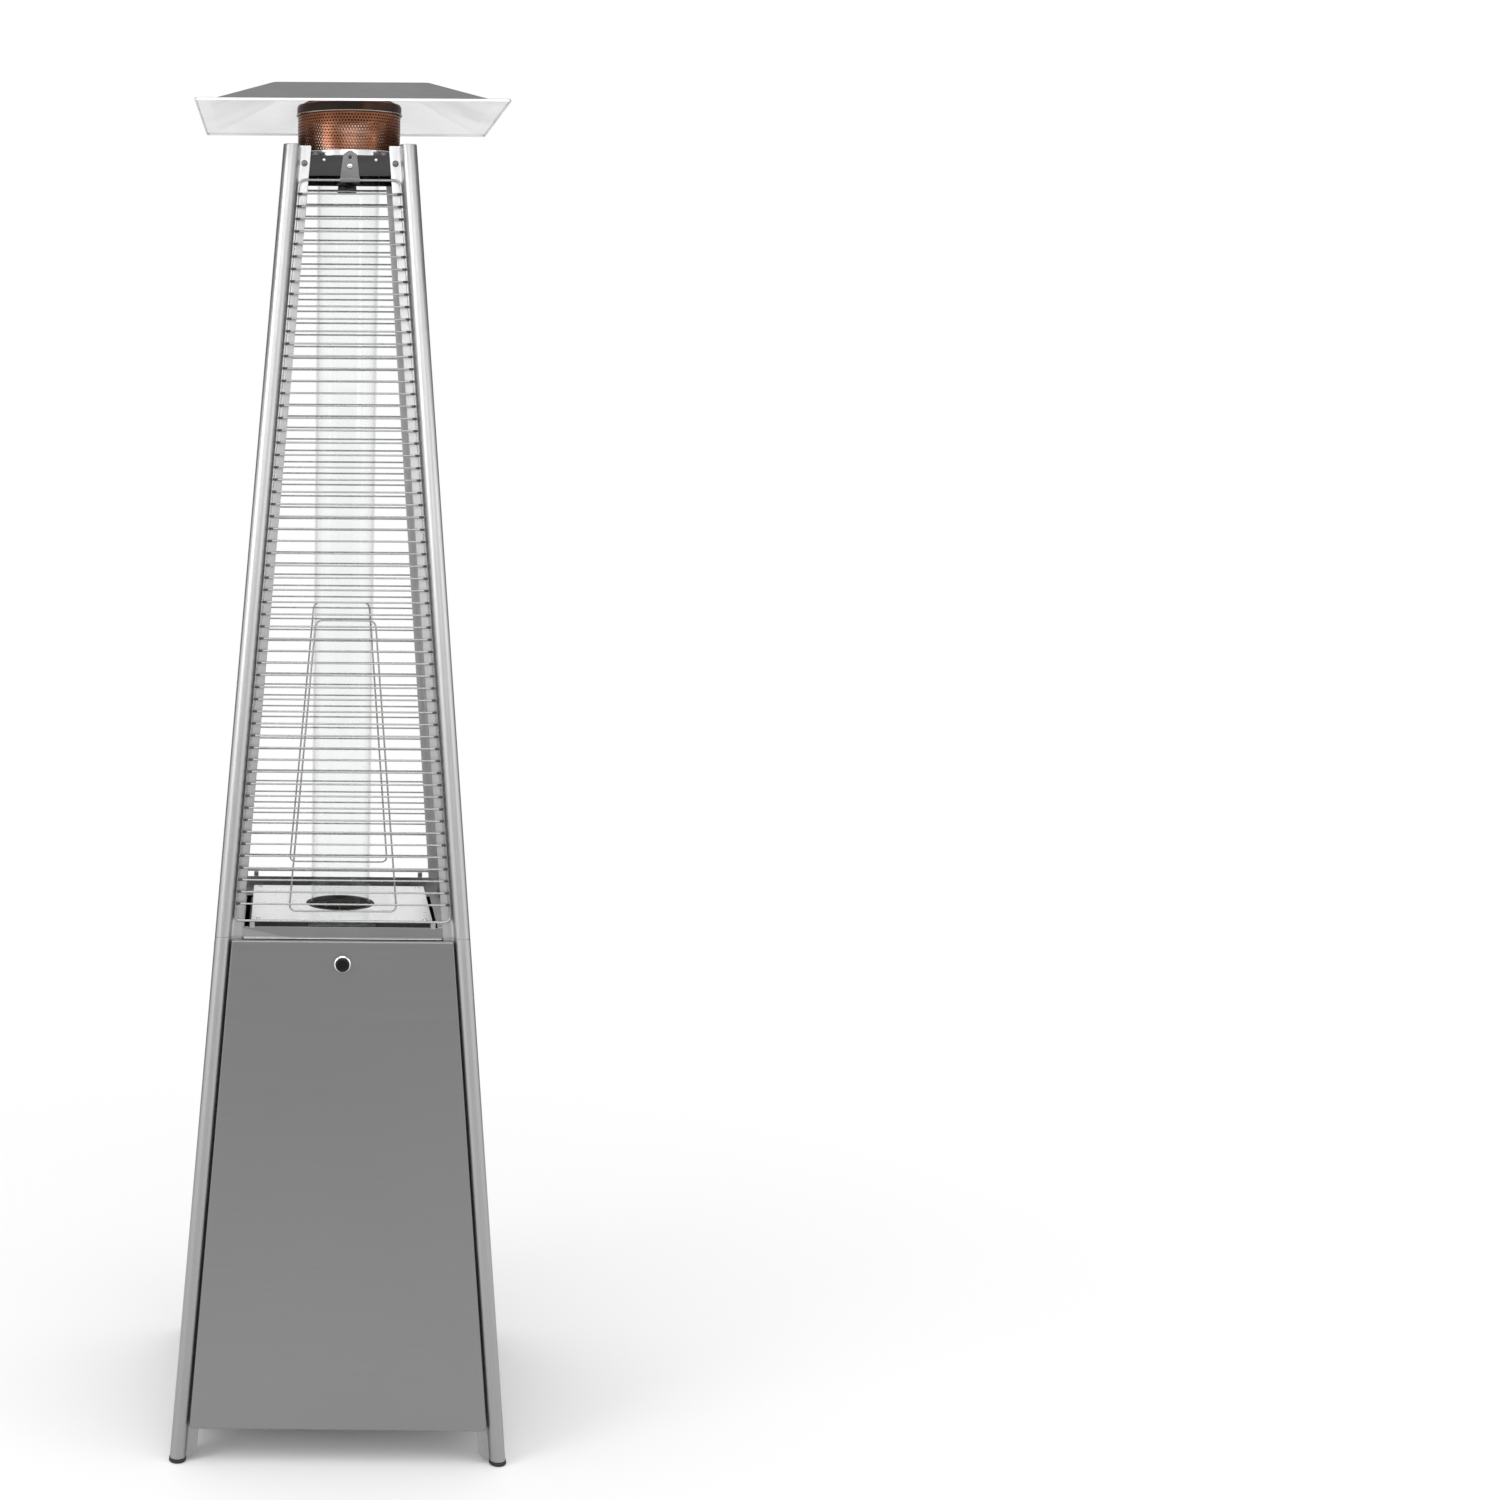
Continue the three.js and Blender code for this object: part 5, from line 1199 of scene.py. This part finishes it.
def pipe_form():
    """From the valve backwards, then up into the nozzle."""
    start = Vector((-CONTROL_X, BOX_FRONT + VALVE_REACH + GAP, CONTROL_Z))
    end = Vector((0, 0, BOWL_FLOOR - NOZZLE_REACH - GAP))
    first = start + Vector((0, 80, 0))
    second = end - Vector((0, 0, 57))
    path = []
    for k in range(33):
        t = k / 32
        near = start * (1 - t) ** 3 + first * 3 * t * (1 - t) ** 2
        path.append(near + second * 3 * t * t * (1 - t) + end * t ** 3)
    return swept(path, PIPE_RADIUS, 20)


add_piece("gas_tube", pipe_form(), pipe_metal, ["gas_pipe"], 60)


# Gas controls behind the door, drawn along Y with the box's front at zero
def on_box(profile, x, y=0, sides=40):
    return moved(lathe_y(profile, sides), x, BOX_FRONT + y, CONTROL_Z)


def control_knob_form():
    """A ribbed knob with a bar grip and a pointer line."""
    back, front = -5, -27
    shape = [(4.3, back - 14, 0), (4.3, back, 0), (18.4, back, 0), (19, back - 0.6, 0.35)]
    shape += [(19, front + 5, 0.35), (18.3, front + 2, 0.35)]
    shape += [(16, front, 0), (12, front - 0.3, 0), (0, front - 0.5, 0)]
    rings = []
    for radius, y, groove in shape:
        ring = []
        for k, angle in enumerate(around(96)):
            reach = radius - groove if k % 4 < 2 else radius
            ring.append((reach * math.cos(angle), y, reach * math.sin(angle)))
        rings.append(ring)
    grip = block(both_ways(4), (front - 4.9, front + 3), both_ways(15.8), 1.6)
    pointer = block(both_ways(0.6), (front - 5, front - 4.6), (6, 14), 0)
    return moved(joined(ringed(rings, closed=False), grip, pointer), -CONTROL_X, BOX_FRONT, CONTROL_Z)


def add_black(name, form, replaced, body="heater_frame"):
    add_piece(name, form, black_plastic, replaced, body=body)


stem = on_box([(0, -17), (3.6, -17), (4, -16.6), (4, 11.5), (0, 11.5)], -CONTROL_X, sides=24)
add_bright("valve_spindle", stem, ["valve_stem"], "valve_stem")
add_black("gas_knob", control_knob_form(), ["control_knob"], "control_knob")
socket = [(0, 38), (0, 16.3), (6.3, 16.3), (6.3, -3), (11.4, -3), (12, -2.2), (12, 0)]
socket += [(9, 0), (9, 37.5), (8.5, 38)]
add_black("igniter_socket", on_box(socket, CONTROL_X, -GAP), ["igniter_body"])
button = [(0, -10.6), (3.6, -10.7), (5.2, -10.4), (6, -9.4), (6, 10), (0, 10)]
add_black("igniter_cap", on_box(button, CONTROL_X, -GAP), ["igniter_button"], "igniter_button")

# Base, hinge pins, bracket, axle and wheels
room = both_ways(TANK_RING_RADIUS + 6.2)
ring_room = block(room, room, (TANK_SEAT + 0.05, TANK_SEAT + 20), 0)
softened("base_tray", "base_plate", base_steel, 0.5, [ring_room])
tank_ring = tube(TANK_RING_RADIUS, TANK_RING_WALL, TANK_SEAT - 0.6, TANK_SEAT + TANK_RING_HEIGHT, 0.5, 96)
add_piece("tank_ring", tank_ring, base_steel)
softened("axle_bracket", "wheel_bracket", dark_plate, 0.5)
pin = rounded([(0, -1.8), (3.2, -1.8), (3.2, -0.3), (2, -0.3), (2, 7.4), (0, 7.4)], 0.4)
for side, sign in SIDES:
    rivet = on_face(lathe_x(pin, 24), sign * HINGE_X - PIN_START, HINGE_Z, HINGE_SETBACK)
    add_bright(f"hinge_rivet_{side}", rivet, [f"door_hinge_pin_{side}"])
half, end = AXLE_HALF, AXLE_HALF + AXLE_HEAD
axle = rounded([(0, -end), (7, -end), (7, -half), (4, -half), (4, half), (7, half), (7, end), (0, end)], 1.2)
axle_rod = moved(lathe_x(axle, 32), 0, WHEEL_Y, WHEEL_Z)
add_piece("axle_rod", axle_rod, wire_steel, ["wheel_axle"])


def wheel_form():
    """A wheel with a grooved tread, a dished web, ribs and a hub."""
    half, web, tread = WHEEL_HALF, WHEEL_WEB, WHEEL_RADIUS
    flank = [(4.3, -half), (9.4, -half), (10, -half + 0.6), (10, -web), (20.5, -web), (21, -half)]
    flank += [(tread - 3, -half), (tread - 1, -half + 1.2), (tread, -half + 3)]
    grooves = []
    for x in (-4.5, 0, 4.5):
        grooves += [(tread, x - 1), (tread - 1, x - 0.6), (tread - 1, x + 0.6), (tread, x + 1)]
    ribs = []
    for angle in around(6):
        for span in ((2 - half, 0.5 - web), (web - 0.5, half - 2)):
            ribs.append(turned(block(span, (-1, 1), (9, 21.5), 0.3), angle, "X"))
    other_flank = [(radius, -x) for radius, x in reversed(flank)]
    return joined(lathe_x(flank + grooves + other_flank, 64), *ribs)


for side, sign in SIDES:
    wheel = moved(wheel_form(), sign * WHEEL_X, WHEEL_Y, WHEEL_Z)
    add_piece(f"tyre_{side}", wheel, black_rubber, [f"wheel_{side}"], body=f"wheel_{side}")


# Stage, in metres: floor, dark cards out of the picture, lamps and sky
def stage_plane(name, corners, shade, seen=True):
    mesh = bpy.data.meshes.new(name)
    mesh.from_pydata(corners, [], [(0, 1, 2, 3)])
    plane = placed(name, mesh)
    surface = Surface(name, (shade, shade, shade), 0.0, 0.9)
    mesh.materials.append(surface.material)
    if not seen:
        plane.visible_camera = False
        plane.visible_diffuse = False
        plane.visible_transmission = False
        plane.visible_shadow = False
    return surface


def dark_card(name, near, far, low, high, shade=0.06):
    """An upright card that draws a dark line along bright metal."""
    stage_plane(name, [(*near, low), (*far, low), (*far, high), (*near, high)], shade, False)


def soft_lamp(name, place, aim, size, power):
    lamp = bpy.data.lights.new(name, "AREA")
    lamp.shape = "RECTANGLE"
    lamp.size, lamp.size_y = size
    lamp.energy = power
    carrier = placed(name, lamp)
    carrier.location = place
    carrier.rotation_euler = (Vector(aim) - Vector(place)).to_track_quat("-Z", "Y").to_euler()


# The floor takes the heater's shadow, and is plain white farther off
FLOOR_REACH = 14
corners = [(x * FLOOR_REACH, y * FLOOR_REACH, 0) for x, y in ((-1, -1), (1, -1), (1, 1), (-1, 1))]
floor = stage_plane("floor", corners, 0.88)
distance = floor.node("VectorMath", {0: floor.place}, "Value", operation="LENGTH")
white = floor.spread(distance, 0.35, 1.9, 0.03, 1.0)
glow = floor.node("Emission", {}, "Emission")
floor.mix_with(floor.times(seen_rays(floor.tree), white), floor.shader.outputs["BSDF"], glow)

dark_card("studio_wall", (-5, -7.5), (5, -7.5), 0, 1.8, 0.1)
for side, sign in SIDES:
    dark_card(f"{side}_card", (sign * 1.8, 0.4), (sign * 1.0, 2.4), 0.05, 3.0)
    dark_card(f"{side}_head_card", (sign * 1.25, -0.75), (sign * 1.45, 0.5), 2.05, 2.75)

soft_lamp("key_lamp", (-3.4, -2.6, 3.0), (0, 0, 1.4), (1.8, 3.0), 62)
soft_lamp("fill_lamp", (3.8, -1.8, 2.4), (0, 0, 1.1), (1.8, 2.8), 16)
soft_lamp("crown_lamp", (0, -6.4, 3.6), (0, 0, 2.0), (3.6, 1.6), 42)
soft_lamp("top_lamp", (0, -0.6, 4.6), (0, 0, 1.5), (3, 3), 50)

world = bpy.data.worlds.new("sky")
bpy.context.scene.world = world
world.use_nodes = True
sky = world.node_tree
back = sky.nodes["Background"]
back.inputs["Color"].default_value = (1, 1, 1, 1)
strength = new_node(sky, "MapRange", {"To Min": 0.85, "To Max": 1.0, "Value": seen_rays(sky)}, "Result")
sky.links.new(strength, back.inputs["Strength"])


# Camera at the photograph's angle: degrees, metres from the heater's axis, and the lens
CAMERA_YAW = -0.431
CAMERA_PITCH = 9.142
CAMERA_ROLL = 0.384
CAMERA_PLACE = (-0.0853, -3.8227, 1.791)
CAMERA_LENS = 53.75
CAMERA_SHIFT = 0.316


def add_camera():
    yaw, pitch, roll = (math.radians(angle) for angle in (CAMERA_YAW, CAMERA_PITCH, CAMERA_ROLL))
    forward = Vector((math.sin(yaw) * math.cos(pitch), math.cos(yaw) * math.cos(pitch), -math.sin(pitch)))
    right = Vector((math.cos(yaw), -math.sin(yaw), 0))
    up = right.cross(forward)
    across = math.cos(roll) * right + math.sin(roll) * up
    upward = math.cos(roll) * up - math.sin(roll) * right
    camera = placed("camera", bpy.data.cameras.new("camera"))
    turn = Matrix((across, upward, -forward)).transposed().to_4x4()
    camera.matrix_world = Matrix.Translation(Vector(CAMERA_PLACE) + AXIS) @ turn
    camera.data.sensor_width = 36
    camera.data.lens = CAMERA_LENS
    camera.data.shift_x = CAMERA_SHIFT
    bpy.context.scene.camera = camera


add_camera()
bpy.context.scene.view_settings.view_transform = "Standard"
